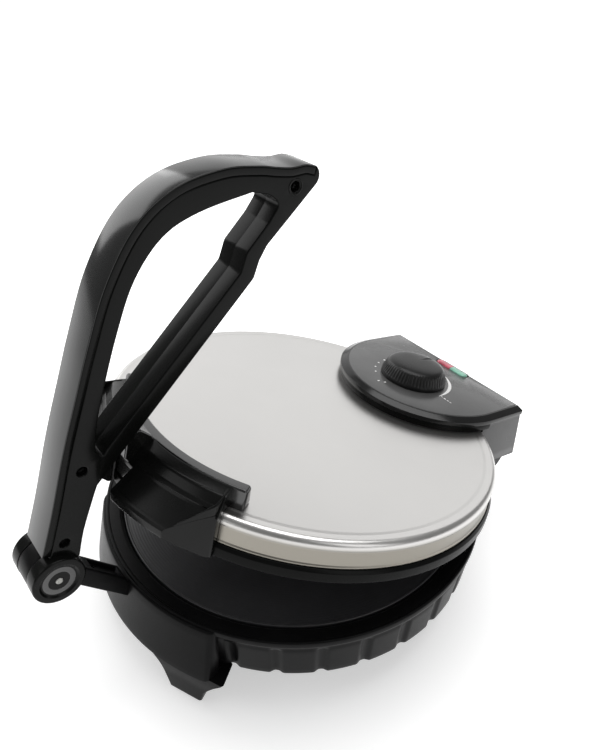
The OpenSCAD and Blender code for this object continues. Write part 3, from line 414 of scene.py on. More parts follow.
def node_of(tree, kind, **values):
    """A new shader node. Values set its properties, or else its inputs, with _ for a space."""
    made = tree.nodes.new(kind)
    for key, value in values.items():
        if hasattr(made, key):
            setattr(made, key, value)
        else:
            made.inputs[key.replace("_", " ")].default_value = value
    return made


def finish_of(name, colour, rough, metal=0.0, grain=(1.0, 1.0, 1.0), grain_scale=900.0, relief=0.05,
              tint=0.12, rough_spread=0.08, coat=0.0, specular=0.5, patches=35.0, extra=None,
              transmission=0.0):
    """A finish with clouded colour, uneven gloss and fine surface grain, all on object coordinates."""
    material = bpy.data.materials.new(name)
    material.use_nodes = True
    tree = material.node_tree
    link = tree.links.new
    shader = tree.nodes["Principled BSDF"]
    for label, value in (("Metallic", metal), ("Specular IOR Level", specular), ("Coat Weight", coat),
                         ("Coat Roughness", 0.08), ("Transmission Weight", transmission)):
        shader.inputs[label].default_value = value
    place = node_of(tree, "ShaderNodeTexCoord")
    cloud = node_of(tree, "ShaderNodeTexNoise", Scale=patches, Detail=4.0, Roughness=0.6)
    link(place.outputs["Object"], cloud.inputs["Vector"])
    ramp = node_of(tree, "ShaderNodeValToRGB")
    dark = [c * (1 - tint) for c in colour]
    light = [min(c * (1 + tint) + 0.002, 1) for c in colour]
    for stop, position, shade in zip(ramp.color_ramp.elements, (0.3, 0.7), (dark, light)):
        stop.position = position
        stop.color = (*shade, 1)
    link(cloud.outputs["Fac"], ramp.inputs["Fac"])
    link(ramp.outputs["Color"], shader.inputs["Base Color"])
    smudge = node_of(tree, "ShaderNodeTexNoise", Scale=patches * 0.6, Detail=6.0, Roughness=0.7)
    link(place.outputs["Object"], smudge.inputs["Vector"])
    gloss = node_of(tree, "ShaderNodeMapRange", From_Min=0.3, From_Max=0.7,
                    To_Min=max(rough - rough_spread, 0.02), To_Max=rough + rough_spread)
    link(smudge.outputs["Fac"], gloss.inputs["Value"])
    link(gloss.outputs["Result"], shader.inputs["Roughness"])
    stretch = node_of(tree, "ShaderNodeMapping", Scale=grain)
    link(place.outputs["Object"], stretch.inputs["Vector"])
    fine = node_of(tree, "ShaderNodeTexNoise", Scale=grain_scale, Detail=3.0, Roughness=0.55)
    link(stretch.outputs["Vector"], fine.inputs["Vector"])
    bump = node_of(tree, "ShaderNodeBump", Strength=relief, Distance=0.0003)
    link(fine.outputs["Fac"], bump.inputs["Height"])
    link(bump.outputs["Normal"], shader.inputs["Normal"])
    if extra:
        extra(tree, place, shader, ramp, bump)
    return material


def ring_grain(pitch, depth):
    """Fine turned rings about the Z axis of the lid or base, added to the grain."""
    def add(tree, place, shader, ramp, bump):
        link = tree.links.new
        centre = node_of(tree, "ShaderNodeMapping", Location=(0, -SHIFT / 1000, 0))
        rings = node_of(tree, "ShaderNodeTexWave", wave_type="RINGS", rings_direction="Z", Scale=pitch,
                        Distortion=0.4)
        link(place.outputs["Object"], centre.inputs["Vector"])
        link(centre.outputs["Vector"], rings.inputs["Vector"])
        second = node_of(tree, "ShaderNodeBump", Strength=depth, Distance=0.0002)
        link(rings.outputs["Fac"], second.inputs["Height"])
        link(bump.outputs["Normal"], second.inputs["Normal"])
        link(second.outputs["Normal"], shader.inputs["Normal"])
    return add


def band_painted_shade(tree, place, shader, ramp, bump):
    """Paints shade into the steel below the lid's rolled edge, standing in for the darker reflection the band
    shows there, by the height above the lid's own base plane.
    """
    link = tree.links.new
    normal = ON_LID.to_3x3().normalized() @ Vector((0, 0, 1))
    height = node_of(tree, "ShaderNodeVectorMath", operation="DOT_PRODUCT")
    height.inputs[1].default_value = normal
    link(place.outputs["Object"], height.inputs[0])
    base = (ON_LID @ Vector((0, 0, 0))).dot(normal)
    step = node_of(tree, "ShaderNodeMapRange", interpolation_type="SMOOTHSTEP", From_Min=base + 0.0205,
                   From_Max=base + 0.0255)
    link(height.outputs["Value"], step.inputs["Value"])
    mix = node_of(tree, "ShaderNodeMix", data_type="RGBA")
    # painted shade: this darker steel colour stands in for the band's darker reflection
    mix.inputs["A"].default_value = (0.25, 0.235, 0.205, 1)
    link(step.outputs["Result"], mix.inputs["Factor"])
    link(ramp.outputs["Color"], mix.inputs["B"])
    link(mix.outputs["Result"], shader.inputs["Base Color"])


DEEP_BLACK = (0.0035, 0.0037, 0.0035)
black_shell = finish_of("moulded_black", (0.004, 0.004, 0.0042), 0.32, relief=0.2, grain_scale=1600,
                        specular=0.07, rough_spread=0.05)
gloss_black = finish_of("glossy_black", (0.004, 0.0042, 0.004), 0.19, relief=0.04, rough_spread=0.03,
                        specular=0.95)
lever_black = finish_of("lever_black", (0.0035, 0.0038, 0.0035), 0.2, relief=0.03, rough_spread=0.01,
                        specular=0.11, tint=0.05, patches=14)
dim_black = finish_of("dim_black", DEEP_BLACK, 0.22, relief=0.04, rough_spread=0.02, specular=0.17)
ring_black = finish_of("ring_black", DEEP_BLACK, 0.26, relief=0.04, rough_spread=0.02, specular=0.07)
# painted sheen: a lighter, glossier copy of the lever's black for the grip's top, so the top reads grey where
# it catches the light
grip_painted_sheen = finish_of("grip_cover_black", (0.009, 0.0094, 0.0092), 0.16, relief=0.03, rough_spread=0.015,
                      tint=0.05, patches=14, specular=0.4)
bevel_black = finish_of("panel_edge_black", (0.006, 0.006, 0.006), 0.14, relief=0.03, rough_spread=0.03,
                        specular=0.3)
panel_grey = finish_of("panel_grey", (0.062, 0.062, 0.062), 0.24, relief=0.05, rough_spread=0.04)
# painted reflection: the housing's grey colour stands in for the bright reflection its glossy black cheeks
# show
housing_painted_sheen = finish_of("housing_painted_sheen", (0.03, 0.03, 0.031), 0.3, relief=0.12, rough_spread=0.05,
                         specular=0.3)
knob_black = finish_of("knob_satin_black", (0.007, 0.007, 0.007), 0.34, relief=0.15, grain_scale=1400,
                       specular=0.24)
# The satin steel carries painted shade on its band below the rolled edge.
steel = finish_of("satin_steel", (0.585, 0.577, 0.565), 0.3, metal=1.0, grain=(1.0, 0.03, 1.0),
                  grain_scale=1500, relief=0.08, tint=0.015, rough_spread=0.03, patches=9, extra=band_painted_shade)
plate_coat = finish_of("plate_coating", (0.03, 0.03, 0.032), 0.42, relief=0.2, extra=ring_grain(170, 0.25))
element_tube = finish_of("oxidised_tube", (0.17, 0.15, 0.14), 0.5, metal=0.8, tint=0.3)
bright_sheet = finish_of("bright_sheet", (0.72, 0.72, 0.73), 0.25, metal=1.0, grain=(1, 0.05, 1),
                         tint=0.03)
cover_sheet = finish_of("dark_sheet", (0.03, 0.03, 0.032), 0.45, metal=0.3, relief=0.3)
zinc = finish_of("bright_zinc", (0.66, 0.66, 0.68), 0.24, metal=1.0, tint=0.06, relief=0.08)
pin_steel = finish_of("turned_pin", (0.3, 0.3, 0.285), 0.4, metal=1.0, tint=0.06, relief=0.08)
bronze = finish_of("bearing_metal", (0.5, 0.36, 0.16), 0.35, metal=1.0, tint=0.08)
rubber = finish_of("soft_rubber", (0.02, 0.02, 0.02), 0.72, relief=0.5, specular=0.3)
ceramic = finish_of("pale_ceramic", (0.76, 0.73, 0.66), 0.5, relief=0.15, tint=0.04)
red_clear = finish_of("red_lens", (0.46, 0.075, 0.11), 0.12, tint=0.25, patches=160, relief=0.03,
                      coat=0.3)
green_clear = finish_of("green_lens", (0.19, 0.44, 0.33), 0.12, tint=0.2, patches=160, relief=0.03,
                        coat=0.3)
lamp_glass = finish_of("lamp_glass", (0.9, 0.5, 0.25), 0.1, tint=0.1, transmission=0.5)
print_white = finish_of("printed_white", (0.78, 0.78, 0.77), 0.4, tint=0.03, relief=0.1, patches=300)
SLOTS = {"black_shell": black_shell, "gloss_black": gloss_black, "grip": grip_painted_sheen, "panel_grey": panel_grey,
         "knob_grey": knob_black, "steel": steel, "plate": plate_coat, "element": element_tube,
         "bright_sheet": bright_sheet, "cover_sheet": cover_sheet, "zinc": zinc, "bronze": bronze,
         "rubber": rubber, "ceramic": ceramic, "red": red_clear, "green": green_clear, "lamp": lamp_glass}
for subpart in frame["record"]["subparts"]:
    shown = frame["nodes"][subpart["node"]]
    shown.data.materials.clear()
    shown.data.materials.append(SLOTS[subpart["material_slot"]])


# ---- base ----

FLUTES, FLUTE_DEPTH = 30, 1.35
FRONT_HALF = 32.5
SKIRT_R, SKIRT_FOOT, SKIRT_RISE, SKIRT_LEAN = 135.5, 34, 31.5, 3.1
# Each foot's angle, outer radius, height of its top, and the side that widens (0 for none)
FEET = ((-113.5, 149.2, 31.5, 1), (-66.5, 149.2, 31.5, -1), (48, 134.9, 35.5, 0), (132, 134.9, 35.5, 0))


def groove(angle):
    """How deep the skirt's outside is drawn in at an angle, from 0 to 1."""
    away = abs((angle % 360) - 270)
    if away < FRONT_HALF + 1:
        return 0.0
    pitch = 360 / FLUTES
    off = abs((angle % pitch) - pitch / 2)
    return smoothstep(1 - max(off - 0.35, 0) / 1.75)


def skirt_radius(z):
    """The skirt leans out evenly from its foot to the rim."""
    return SKIRT_R + (z - SKIRT_FOOT) / SKIRT_RISE * SKIRT_LEAN


def skirt():
    """The fluted skirt with its plain rim, as a ring of closed sections."""
    rows = []
    steps = 900
    rim = [(138.6, 72.0), (139.4, 71.9), (139.85, 71.5), (140, 71.0), (140, 67.8), (139.85, 67.1),
           (139.3, 66.4), (138.75, 65.9)]
    flute_top = 64.4
    for i in range(steps):
        a = 360 * i / steps
        g = groove(a)
        low = SKIRT_FOOT + 0.5 * g
        outer = list(rim)
        for z in (64.6, 63.6, 62.6, 61.6, 60.4, 58.0, 52.0, 46.0, 40.0, 36.2):
            sunk = FLUTE_DEPTH * g * smoothstep((flute_top - z) / 3.2)
            swell = 0.35 * (1 - g) * smoothstep((flute_top - z) / 4)
            outer.append((skirt_radius(z) - sunk + swell, z))
        r = SKIRT_R - FLUTE_DEPTH * g + 0.3 * (1 - g)
        outer += [(r, low + 1.0), (r - 0.3, low + 0.3), (r - 1.0, low)]
        inner = [(132.6, low), (132.4, low + 0.5), (133.6, 50), (134.8, 64), (137.0, 66.6), (137.3, 68),
                 (137.3, 71.3), (137.6, 71.85)]
        c, s = math.cos(math.radians(a)), math.sin(math.radians(a))
        rows.append([(r * c, r * s, z) for r, z in outer + inner])
    return loft(rows, ring=True)


def front_panel():
    """The smooth bulged panel at the front of the skirt, whose two ends sink into it."""
    rows = []
    steps = 150
    path = [(140.2, 71.0), (141.0, 70.9), (141.7, 70.4), (142.3, 69.2), (143.4, 64), (144.7, 58), (146.0, 52),
            (147.3, 46), (148.6, 40), (149.6, 35), (150.3, 31.6), (150.35, 30.7), (150.0, 30.15),
            (149.4, 30.0)]
    fade = 2.2
    for i in range(steps + 1):
        u = -1 + 2 * i / steps
        off = FRONT_HALF * math.copysign(1 - (1 - abs(u)) ** 1.25, u)
        near = max(abs(off) - (FRONT_HALF - fade), 0) / fade
        keep = math.sqrt(max(1 - near ** 2, 0.0))
        row = []
        for r, z in path:
            ground = skirt_radius(z) - 0.3
            row.append((ground + (r - ground) * (0.2 + 0.8 * keep), z))
        inside = [(r - 2.4, z + (0.0 if z > 31 else 0.4)) for r, z in reversed(path[3:])]
        row += [(max(r - (1 - keep) * 8, 133.5), z) for r, z in inside]
        a = math.radians(-90 + off)
        rows.append([(r * math.cos(a), r * math.sin(a), z) for r, z in row])
    return loft(rows)


def foot(angle, r_out, top, wider_side):
    """A tapered foot that flares into what it carries."""
    rows = []
    bottom, depth, corner = 1.5, 17, 1.8
    for k in range(17):
        t = k / 16
        z = bottom + (top - bottom) * t
        edge = 1.0 - math.sqrt(max(1 - (1 - min(t / 0.05, 1)) ** 2, 0.0))
        grow = -0.9 * edge
        half = 12.6 + 10.6 * t ** 1.2 + 3.2 * smoothstep((t - 0.7) / 0.3) ** 1.5 + grow
        shoulder = 4.5 * smoothstep((t - 0.35) / 0.55)
        outer, inner = r_out + grow + 0.9 * smoothstep((t - 0.5) * 2), r_out - depth - grow
        side, front, back = half - corner, outer - corner, inner + corner
        plan = []
        for quarter, centre in enumerate(((side, front), (-side, front), (-side, back), (side, back))):
            plan += arc(corner, 90 * quarter, 90 * quarter + 90, 6, centre)
        row = []
        for x, out in plan:
            x += shoulder * wider_side * (x * wider_side > 0)
            a = math.radians(angle) - x / r_out
            row.append((out * math.cos(a), out * math.sin(a), z))
        rows.append(row)
    return loft(rows)


piece("base_skirt", skirt(), ON_TABLE, "base", black_shell, ("base_housing",))
piece("front_panel", front_panel(), ON_TABLE, "base", black_shell)
piece("moulded_feet", join(*[foot(*f) for f in FEET]), ON_TABLE, "base", black_shell,
      ("base_feet",))
pad = rounded([(0, 0, 0), (6.5, 0, 0.5), (6.5, 3.4, 0.2), (0, 3.4, 0)], 0.5)
pads = [moved(swept(pad, 0, 360, 40), turn(angle) @ shift(x=r_out - 8.5)) for angle, r_out, *_ in FEET]
piece("rubber_pads", join(*pads), ON_TABLE, "base", rubber, ("foot_pads",))
lower_ring = swept(rounded([(127.4, 69.8, 0.3), (130, 71.6, 0.8), (137.3, 71.6, 0.2), (137.3, 68.6, 0.2),
                            (130, 68, 0.5), (130, 62, 0.3), (127.4, 62, 0.3)], 0.4), 0, 360, 240)
piece("plate_surround", lower_ring, ON_TABLE, "base", black_shell, ("lower_plate_ring",))
dish = [(0, 70.5, 0), (125.2, 70.5, 0.6), (126.2, 71.1, 0.5), (127, 70.6, 0.4), (127, 62.6, 0.4),
        (124, 62.6, 0.4), (123.5, 66.5, 0.5), (0, 66.5, 0)]
piece("lower_plate", swept(rounded(dish, 0.5), 0, 360, 240), ON_TABLE, "base", plate_coat,
      ("lower_cooking_plate",))

# ---- lever bracket ----

TONGUE_HALF, KNUCKLE_R = 7, 16
tongue = [(0, 0, 0), (19, -11.5, 4), (42, -38.4, 1), (42.6, -41.4, 0), (47.2, -41.4, 0.5), (47.2, -44.5, 0.5),
          (54, -44.5, 0.5), (54, -67, 0.5), (45.6, -67, 0.5), (45.57, -61.66, 2), (9.575, -19.56, 4)]
tongue_body = slab(rounded(tongue, 1.0, 5), [], edge_stations(-TONGUE_HALF, TONGUE_HALF, 1.3, 1.3))
along, down = Vector((0.6499, -0.7601)), Vector((-0.7601, -0.6499))
start = Vector((19, -11.5))
trough = [start + a * along + b * down for a, b in ((5, -2), (33, -2), (31.4, 2.2), (6.6, 2.2))]
trough_cut = softened(solid_yz(trough, -4.2, 4.2), 0.7, 30, 3)
bore = moved(rod_z(1.7, -6, 6, 28), shift(0, *(start + 11 * along))
             @ Matrix.Rotation(-math.atan2(-down[0], -down[1]), 4, "X"))
tongue_body = cut_from(tongue_body, trough_cut, bore)
bracket_foot = softened(solid_yz([(53.5, -67), (69.5, -67), (69.5, -61), (53.5, -61)], -22, 22), 1.0, 30, 3)
knuckle = rod_x(KNUCKLE_R, -TONGUE_HALF, TONGUE_HALF, 120, edge=0.5)
bracket = join(tongue_body, knuckle, bracket_foot)
piece("lever_tongue", bracket, ON_LEVER, "base", black_shell, ("lever_bracket",))


# ---- lever ----

# Outlines in the YZ plane, from the pivot, with the lever as it stands in the photo
TIP = (175.6, 198)
HOLES = ((9.2, 22.2), (27.8, 67.6), TIP)
LEG = math.radians(41)


def on_leg(along_leg, up):
    """A point by its distance along the lever's straight leg and its height above it."""
    c, s = math.cos(LEG), math.sin(LEG)
    return Vector((along_leg * c - up * s, along_leg * s + up * c))


COVER = 5.0
NOSE, NOSE_R = (186, 201.4), 7
grip_back = spline([(-5, 19), (6, 47), (19, 83), (32, 115), (43, 141.5), (58, 173.5), (78, 200), (102, 214),
                    (130, 217.5), (152, 214.5), (164, 211.4), (174, 209.3), (183.4, 209),
                    arc(NOSE_R, 48, 48, 1, NOSE)[0]], 6)
seam_line = beside(grip_back, COVER)
leg_under = spline([on_leg(61, 17.6), (30.5, 45), (21.5, 25), (16, 8)], 5)
leg_step = [(171, 180.2, 20), (156, 168.2, 9), (150.5, 160.5, 6), (*on_leg(209, 17.6), 6)]
loop_grip = spline([(37.5, 78), (40.5, 92), (47, 111.5), (60.5, 145), (74, 171.5), (92, 190), (114, 197.8),
                    (147, 201)], 6)
loop_tip = [(158, 197.5, 6), (165.5, 191, 6), (157, 181, 8), (142, 167.5, 6), (137.5, 156.5, 6)]
loop_leg = [(*on_leg(83, 28.2), 6), (40.5, 71.5, 3)]
channel = [on_leg(36.6, 7.4), on_leg(44.5, 17.6), on_leg(50.5, 22.6), on_leg(56, 24.6), on_leg(198, 24.6),
           on_leg(198, 0), on_leg(30, 0)]
lever_rim = rounded(sharp(seam_line + arc(NOSE_R, 45, -52, 16, NOSE)) + leg_step
                    + sharp([*leg_under, (8, -4), (-12, 4)]), 3, 5)
lever_loop = rounded(sharp(loop_grip) + loop_tip + loop_leg, 3, 6)
HALF, EDGE = 12.0, 0.9  # half of the lever's width, and the rounding of its edges


def lever_half():
    """The right half of the lever's body, with a fine groove along the seam in the middle."""
    mesh = slab(lever_rim, [lever_loop], edge_stations(0, HALF, 0.03, EDGE, 6))
    knuckle_room = 7.4
    wedge = solid_yz([(0, 0), *arc(100, -212, 16, 40)], -1, knuckle_room)
    return cut_from(mesh, solid_yz(channel, -1, 8.6), wedge, rod_x(16.4, -1, knuckle_room, 120))


def barrel_half():
    """The right half of the pivot barrel, with a raised ring and a recess at its end."""
    end, recess = 16.8, 15.8
    profile = [(7.3, 0, 0), (7.3, BARREL_R, 0.5), (end, BARREL_R, 1.4), (end, 12.2, 0.7), (recess, 10.9, 0.6),
               (recess, 0, 0)]
    return turned_about_x(rounded(profile, 0.4, 5), 144)


def deep_hole(place):
    """A cutter for a screw hole with a rounded mouth."""
    radius, lip, seat = 3.0, 0.9, 4.2
    mouth = [(seat, 0), (seat, radius)]
    mouth += [(HALF - lip + lip * math.sin(t), radius + lip * (1 - math.cos(t)))
              for t in [math.radians(15 * k) for k in range(7)]]
    mouth += [(HALF + 3, radius + lip), (HALF + 3, 0)]
    return moved(turned_about_x(mouth, 48), shift(y=place[0], z=place[1]))


body_half = lever_half()
drilled = cut_from(body_half.copy(), *[deep_hole(p) for p in HOLES])
bore_lip = turned_about_x(rounded([(11.5, 3.95, 0), (12.35, 3.95, 0.3), (12.35, 4.9, 0.4), (11.5, 5.1, 0)],
                                  0.3, 4), 60)
right = join(drilled, barrel_half(), moved(bore_lip, shift(y=TIP[0], z=TIP[1])))
left = join(mirrored(body_half), mirrored(barrel_half()))
piece("lever_right_shell", right, ON_LEVER, "lever", lever_black, ("lever_right_half",))
piece("lever_left_shell", left, ON_LEVER, "lever", lever_black, ("lever_left_half",))

# The thin skin on the grip's top carries the painted sheen; the cover's sides keep the lever's black.
skin_line = grip_back + beside(grip_back, 1.0)[::-1]
skin = slab(skin_line, [], edge_stations(-HALF + 0.35, HALF - 0.35, 0.3, 0.3, 3))
piece("lever_grip_skin", skin, ON_LEVER, "lever", grip_painted_sheen)
cover_line = beside(grip_back, 0.22) + beside(grip_back, COVER - 0.05)[::-1]
cover_weights = [1.0] * len(grip_back) + [0.25] * len(grip_back)
grip = slab(cover_line, [], edge_stations(-HALF, HALF, 1.1, 1.1, 5), cover_weights)
grip = cut_from(grip, rod_x(16.5, -20, 20, 96))
piece("lever_grip", grip, ON_LEVER, "lever", lever_black, ("lever_grip_cover",))

cap = turned_about_x(rounded([(14.9, 0, 0), (14.9, 10.1, 0), (15.9, 10.1, 0.3), (15.9, 6.6, 0.4),
                              (15.2, 5.9, 0.4), (15.2, 0, 0)], 0.3, 4), 72)
piece("barrel_end_caps", join(cap, mirrored(cap)), ON_LEVER, "lever", gloss_black,
      ("barrel_caps",))
pin = turned_about_x(rounded([(-14.4, 0, 0), (-14.4, 3, 0.3), (14.4, 3, 0.3), (14.4, 0, 0)], 0.3), 48)
nose = turned_about_x(rounded([(14.2, 0, 0), (14.2, 2.3, 0), (16.2, 2.3, 0.5), (16.4, 1.2, 0.3),
                               (16.2, 0, 0)], 0.3), 40)
piece("pivot_pin", join(pin, nose, mirrored(nose)), ON_LEVER, "lever_axle", pin_steel,
      ("lever_pivot_pin",))


def handle_screw():
    """A round-headed screw with a cross recess, set in one of the lever's holes."""
    head = turned_about_x(rounded([(4.25, 0, 0), (4.25, 2.85, 0.2), (5.9, 2.85, 0.6), (6.4, 1.6, 0.4),
                                   (6.1, 0, 0)], 0.3), 36)
    cross = [solid_yz([(-y, -z), (y, -z), (y, z), (-y, z)], 5.3, 8) for y, z in ((1.7, 0.35), (0.35, 1.7))]
    return join(cut_from(head, *cross), rod_x(1.45, -8, 4.3, 24))


heads = [moved(handle_screw(), shift(y=y, z=z)) for y, z in HOLES]
piece("handle_screws", join(*heads), ON_LEVER, "lever", zinc, ("lever_screws",))

# ---- lid ----

ridge = [(0, 28.0, 0), (129.5, 28.0, 8), (131.5, 27.75, 2), *sharp(arc(4, 110, 2, 9, (135.4, 24.1)))]
band = [(139.4, 23.0, 1), (139.0, 21.5, 1), (138.9, 11.6, 1), (139.3, 10.6, 0.5), (139.4, 9.6, 0.2),
        (138.5, 9.6, 0.2), (138.0, 11.0, 0.5), (138.0, 22.0, 2), (134.5, 27.0, 2), (0, 27.1, 0)]
lid_mesh = swept(rounded(ridge + band, 1.0, 5), 0, 360, 360)
holes = [rod_z(1.9, 20, 40, 24, 125 * math.cos(a), 125 * math.sin(a))
         for a in map(math.radians, (-115, -100, -80, -65))]
holes.append(rod_z(7, 20, 40, 40, y=KNOB_Y))
piece("steel_lid", cut_from(lid_mesh, *holes), ON_LID, "lid", steel, ("lid_cover",))

ring = [(127.4, 0.9, 0.2), (140.8, 0.5, 0.6), (142, 1.7, 0.9), (141.7, 7.6, 1.2), (140.2, 9.5, 0.5),
        (136.9, 9.5, 0.2), (136.9, 13.5, 0.2), (134.4, 13.5, 0.2), (134.4, 5.5, 0.4), (127.4, 5.5, 0.3)]
piece("black_ring", swept(rounded(ring, 0.4, 5), 0, 360, 360), ON_LID, "lid", ring_black,
      ("lid_ring",))
upper = [(0, 0.5, 0), (126.2, 0.5, 0.6), (127, 1.2, 0.4), (127, 8.5, 0.4), (124, 8.5, 0.4), (123.5, 4.5, 0.5),
         (0, 4.5, 0)]
piece("upper_plate", swept(rounded(upper, 0.5), 0, 360, 240), ON_LID, "lid", plate_coat,
      ("upper_cooking_plate",))


# ---- press collar: a raised arc, a deep outer wall and two thumb lobes with the lever's slot between ----

ARC_HALF, WALL_HALF = 34.5, 30.5
WALL_R, SLOT_HALF = 144.6, 13.5


def round_ended(profile, half_angle, steps, radius, edge):
    """A section swept over the front whose ends are rounded: it is drawn in over the last stretch."""
    a0, a1 = -90 - half_angle, -90 + half_angle
    reach = math.degrees(edge / radius)
    between = [(a0 + (a1 - a0) * k / steps, 0.0) for k in range(steps + 1)]
    between = [station for station in between if a0 + reach < station[0] < a1 - reach]
    quarter = [math.radians(90 * k / 8) for k in range(9)]
    ends = [(reach * (1 - math.cos(t)), edge * (1 - math.sin(t))) for t in quarter]
    stations = [(a0 + off, inset) for off, inset in ends] + between
    stations += [(a1 - off, inset) for off, inset in reversed(ends)]
    line = oriented(profile)
    rows = []
    for angle, inset in stations:
        c, s = math.cos(math.radians(angle)), math.sin(math.radians(angle))
        rows.append([(q[0] * c, q[0] * s, q[1]) for q in drawn_in(line, inset)])
    return loft(rows)


arc_section = [(118.5, 28.05, 0), (121, 40.5, 1.2), (122.2, 41.5, 1.2), (128, 41.5, 1.0), (129, 40.5, 1.0),
               (129.6, 28.05, 0)]
collar_arc = round_ended(rounded(arc_section, 1.0, 5), ARC_HALF, 138, 125, 2.2)
wall_section = [(125, 40.9, 0), (129, 40.9, 1.5), (137, 39.1, 4), (142.6, 31.8, 3), (WALL_R, 28.8, 2),
                (WALL_R, 1.0, 0.8), (142.2, 1.0, 0.3), (142.2, 10.1, 0.3), (139.6, 10.1, 0.3),
                (139.6, 25, 0.5), (137.4, 28.45, 0.5), (125, 28.45, 0)]
collar_wall = swept(rounded(wall_section, 1.0, 5), -90 - WALL_HALF, -90 + WALL_HALF, 122)
slot = [(-SLOT_HALF, -152), (SLOT_HALF, -152), (SLOT_HALF, -140.9), (-SLOT_HALF, -140.9)]
collar_wall = softened(cut_from(collar_wall, prism(rounded(slot, 2.0), -6, 26)), 1.0, 34, 3)


def lobe_plan(inset):
    """The right thumb lobe from above: it starts at the slot and narrows to the wall's right end."""
    rear = Vector((WALL_R * math.sin(math.radians(30)), -WALL_R * math.cos(math.radians(30))))
    reach, left = 158.5 - inset, SLOT_HALF + inset
    front = arc(reach, -90 + math.degrees(math.asin(left / reach)), -90 + 20.9 - inset * 0.4, 24)
    outline = [(left, -138.6, 0), (*front[0], 3.6), *sharp(front[2:-2]), (*front[-1], 3.0),
               (rear[0] - inset, rear[1], 0), (0.96 * rear[0] - inset, 0.96 * rear[1], 0)]
    return rounded(outline, 0, 6)


def thumb_lobe():
    """The right lobe: a ramp from the wall down to its front edge, with a dished top."""
    section = [(139.0, 36.0), (157.4, 18.0), (158.4, 16.0), (158.4, 11.5), (157.4, 10.5), (145.6, 1.0),
               (143.6, 1.0)]
    dish_section = [(142.9, 30.9), (156.3, 17.8), (156.3, 60), (142.9, 60)]
    ramp, dished = swept(rounded(section, 1.2, 4), -92, -50, 126), swept(dish_section, -92, -50, 126)
    finish_mesh(ramp)
    finish_mesh(dished)
    ramp = common(ramp, prism(lobe_plan(0), -20, 60))
    dished = common(dished, prism(lobe_plan(2.2), -20, 60))
    return softened(cut_from(ramp, dished), 0.6, 30, 3)


def side_rib():
    """The upright plate that closes the right end of the lobe and of the wall behind it."""
    front, rear, inner = Vector((56.8, -147.6)), Vector((72.2, -125.0)), Vector((66.3, -113.2))
    side_way, end_way = (rear - front).normalized(), (inner - rear).normalized()
    side_in, end_in = (Vector((-way[1], way[0])) for way in (side_way, end_way))
    corner = (side_in + end_in).normalized() * 1.75
    # Where the plate stands, its thickness, and its lower and upper edge
    stands = [(front + side_way * 3.0, side_in * 1.6, 12.0, 18.6),
              (front + side_way * 9.0, side_in * 1.7, 6.5, 23.5),
              (rear - side_way * 6.0, side_in * 1.7, 2.6, 33.0), (rear - side_way * 0.8, corner, 1.2, 37.0),
              (rear + end_way * 1.0, corner, 1.1, 38.0), (inner, end_in * 1.7, 28.6, 40.9)]
    rows = []
    for near, thick, low, high in stands:
        far, slope = near + thick, 0.25 * thick
        rows.append([(*near, low), (*near, high - 0.4), (*(near + slope), high), (*(far - slope), high),
                     (*far, high - 0.4), (*far, low)])
    return loft(rows)


lobe_mesh = join(thumb_lobe(), side_rib())
boss = rounded([(-142, 26, 0), (-147, 32, 1), (-147, 47.2, 1), (-146, 47.9, 0.4), (-140, 50.4, 0.8),
                (-138, 50, 1.2), (-131, 45, 4), (-128, 40.5, 1), (-128, 31, 0)], 0.5, 5)
boss_mesh = slab(boss, [], edge_stations(-7.5, 7.5, 1.2, 1.2))
piece("collar_arc", collar_arc, ON_LID, "lid", gloss_black, ("press_collar",))
piece("collar_wall", collar_wall, ON_LID, "lid", dim_black)
piece("thumb_lobes", join(lobe_mesh, mirrored(lobe_mesh)), ON_LID, "lid", dim_black)
piece("press_boss", boss_mesh, ON_LID, "lid", gloss_black)

# ---- control housing ----


def panel_plan(inset, back_to, corner=2.2):
    """The panel's plan: a round front, straight sides and a straight back."""
    r, corner = PANEL_R - inset, max(corner - inset, 0.6)
    return (arc(r, -180, 0, 96, (0, PANEL_Y)) + arc(corner, 0, 90, 8, (r - corner, back_to - corner))
            + arc(corner, 90, 180, 8, (corner - r, back_to - corner)))


def panel_loft(levels):
    """A block over the panel's plan. Levels are (height, inset, back edge)."""
    return loft([[(*p, z) for p in panel_plan(inset, back_to)] for z, inset, back_to in levels])


def back_at(z):
    """The housing's back, which leans out below the panel."""
    return PANEL_BACK + HOUSING_FLARE * (PANEL_UNDER - z) / (PANEL_UNDER + HOUSING_BELOW)


outer = panel_loft([(-9.0, 2.4, back_at(-9) - 0.8), (-8.2, 1.8, back_at(-8.2)), (0, 1.7, back_at(0)),
                    (20, 1.6, back_at(20)), (30, 1.6, back_at(30)), (32.9, 1.6, PANEL_BACK)])
inner = panel_loft([(z, inset, back_at(z) - 2.5) for z, inset in ((-12, 4.4), (10, 4.2), (30.5, 4.1))])
lid_room = swept([(0, -30), (142.3, -30), (142.3, 9.8), (139.7, 9.8), (139.7, 28.02), (0, 28.02)],
                 0, 360, 240)
housing = softened(cut_from(outer, inner, lid_room), 0.6, 40, 2)
front_wall = swept(rounded([(70.1, 28.06), (70.62, 28.06), (70.62, 32.98), (70.1, 32.98)], 0.1, 2),
                   -179.6, -0.4, 120)
# The low front wall keeps a plain black; the rest of the shell takes the grey that paints in its reflection.
piece("panel_front_wall", moved(front_wall, shift(y=PANEL_Y)), ON_LID, "lid", ring_black)
piece("housing_shell", housing, ON_LID, "lid", housing_painted_sheen, ("control_housing",))


def window_line(length, width, steps=20):
    """The indicator window's plan: a bar with round ends."""
    half = (length - width) / 2
    ends = arc(width / 2, -90, 90, steps, (half, 0)) + arc(width / 2, 90, 270, steps, (-half, 0))
    return [p + Vector((0, WINDOW_Y)) for p in ends]


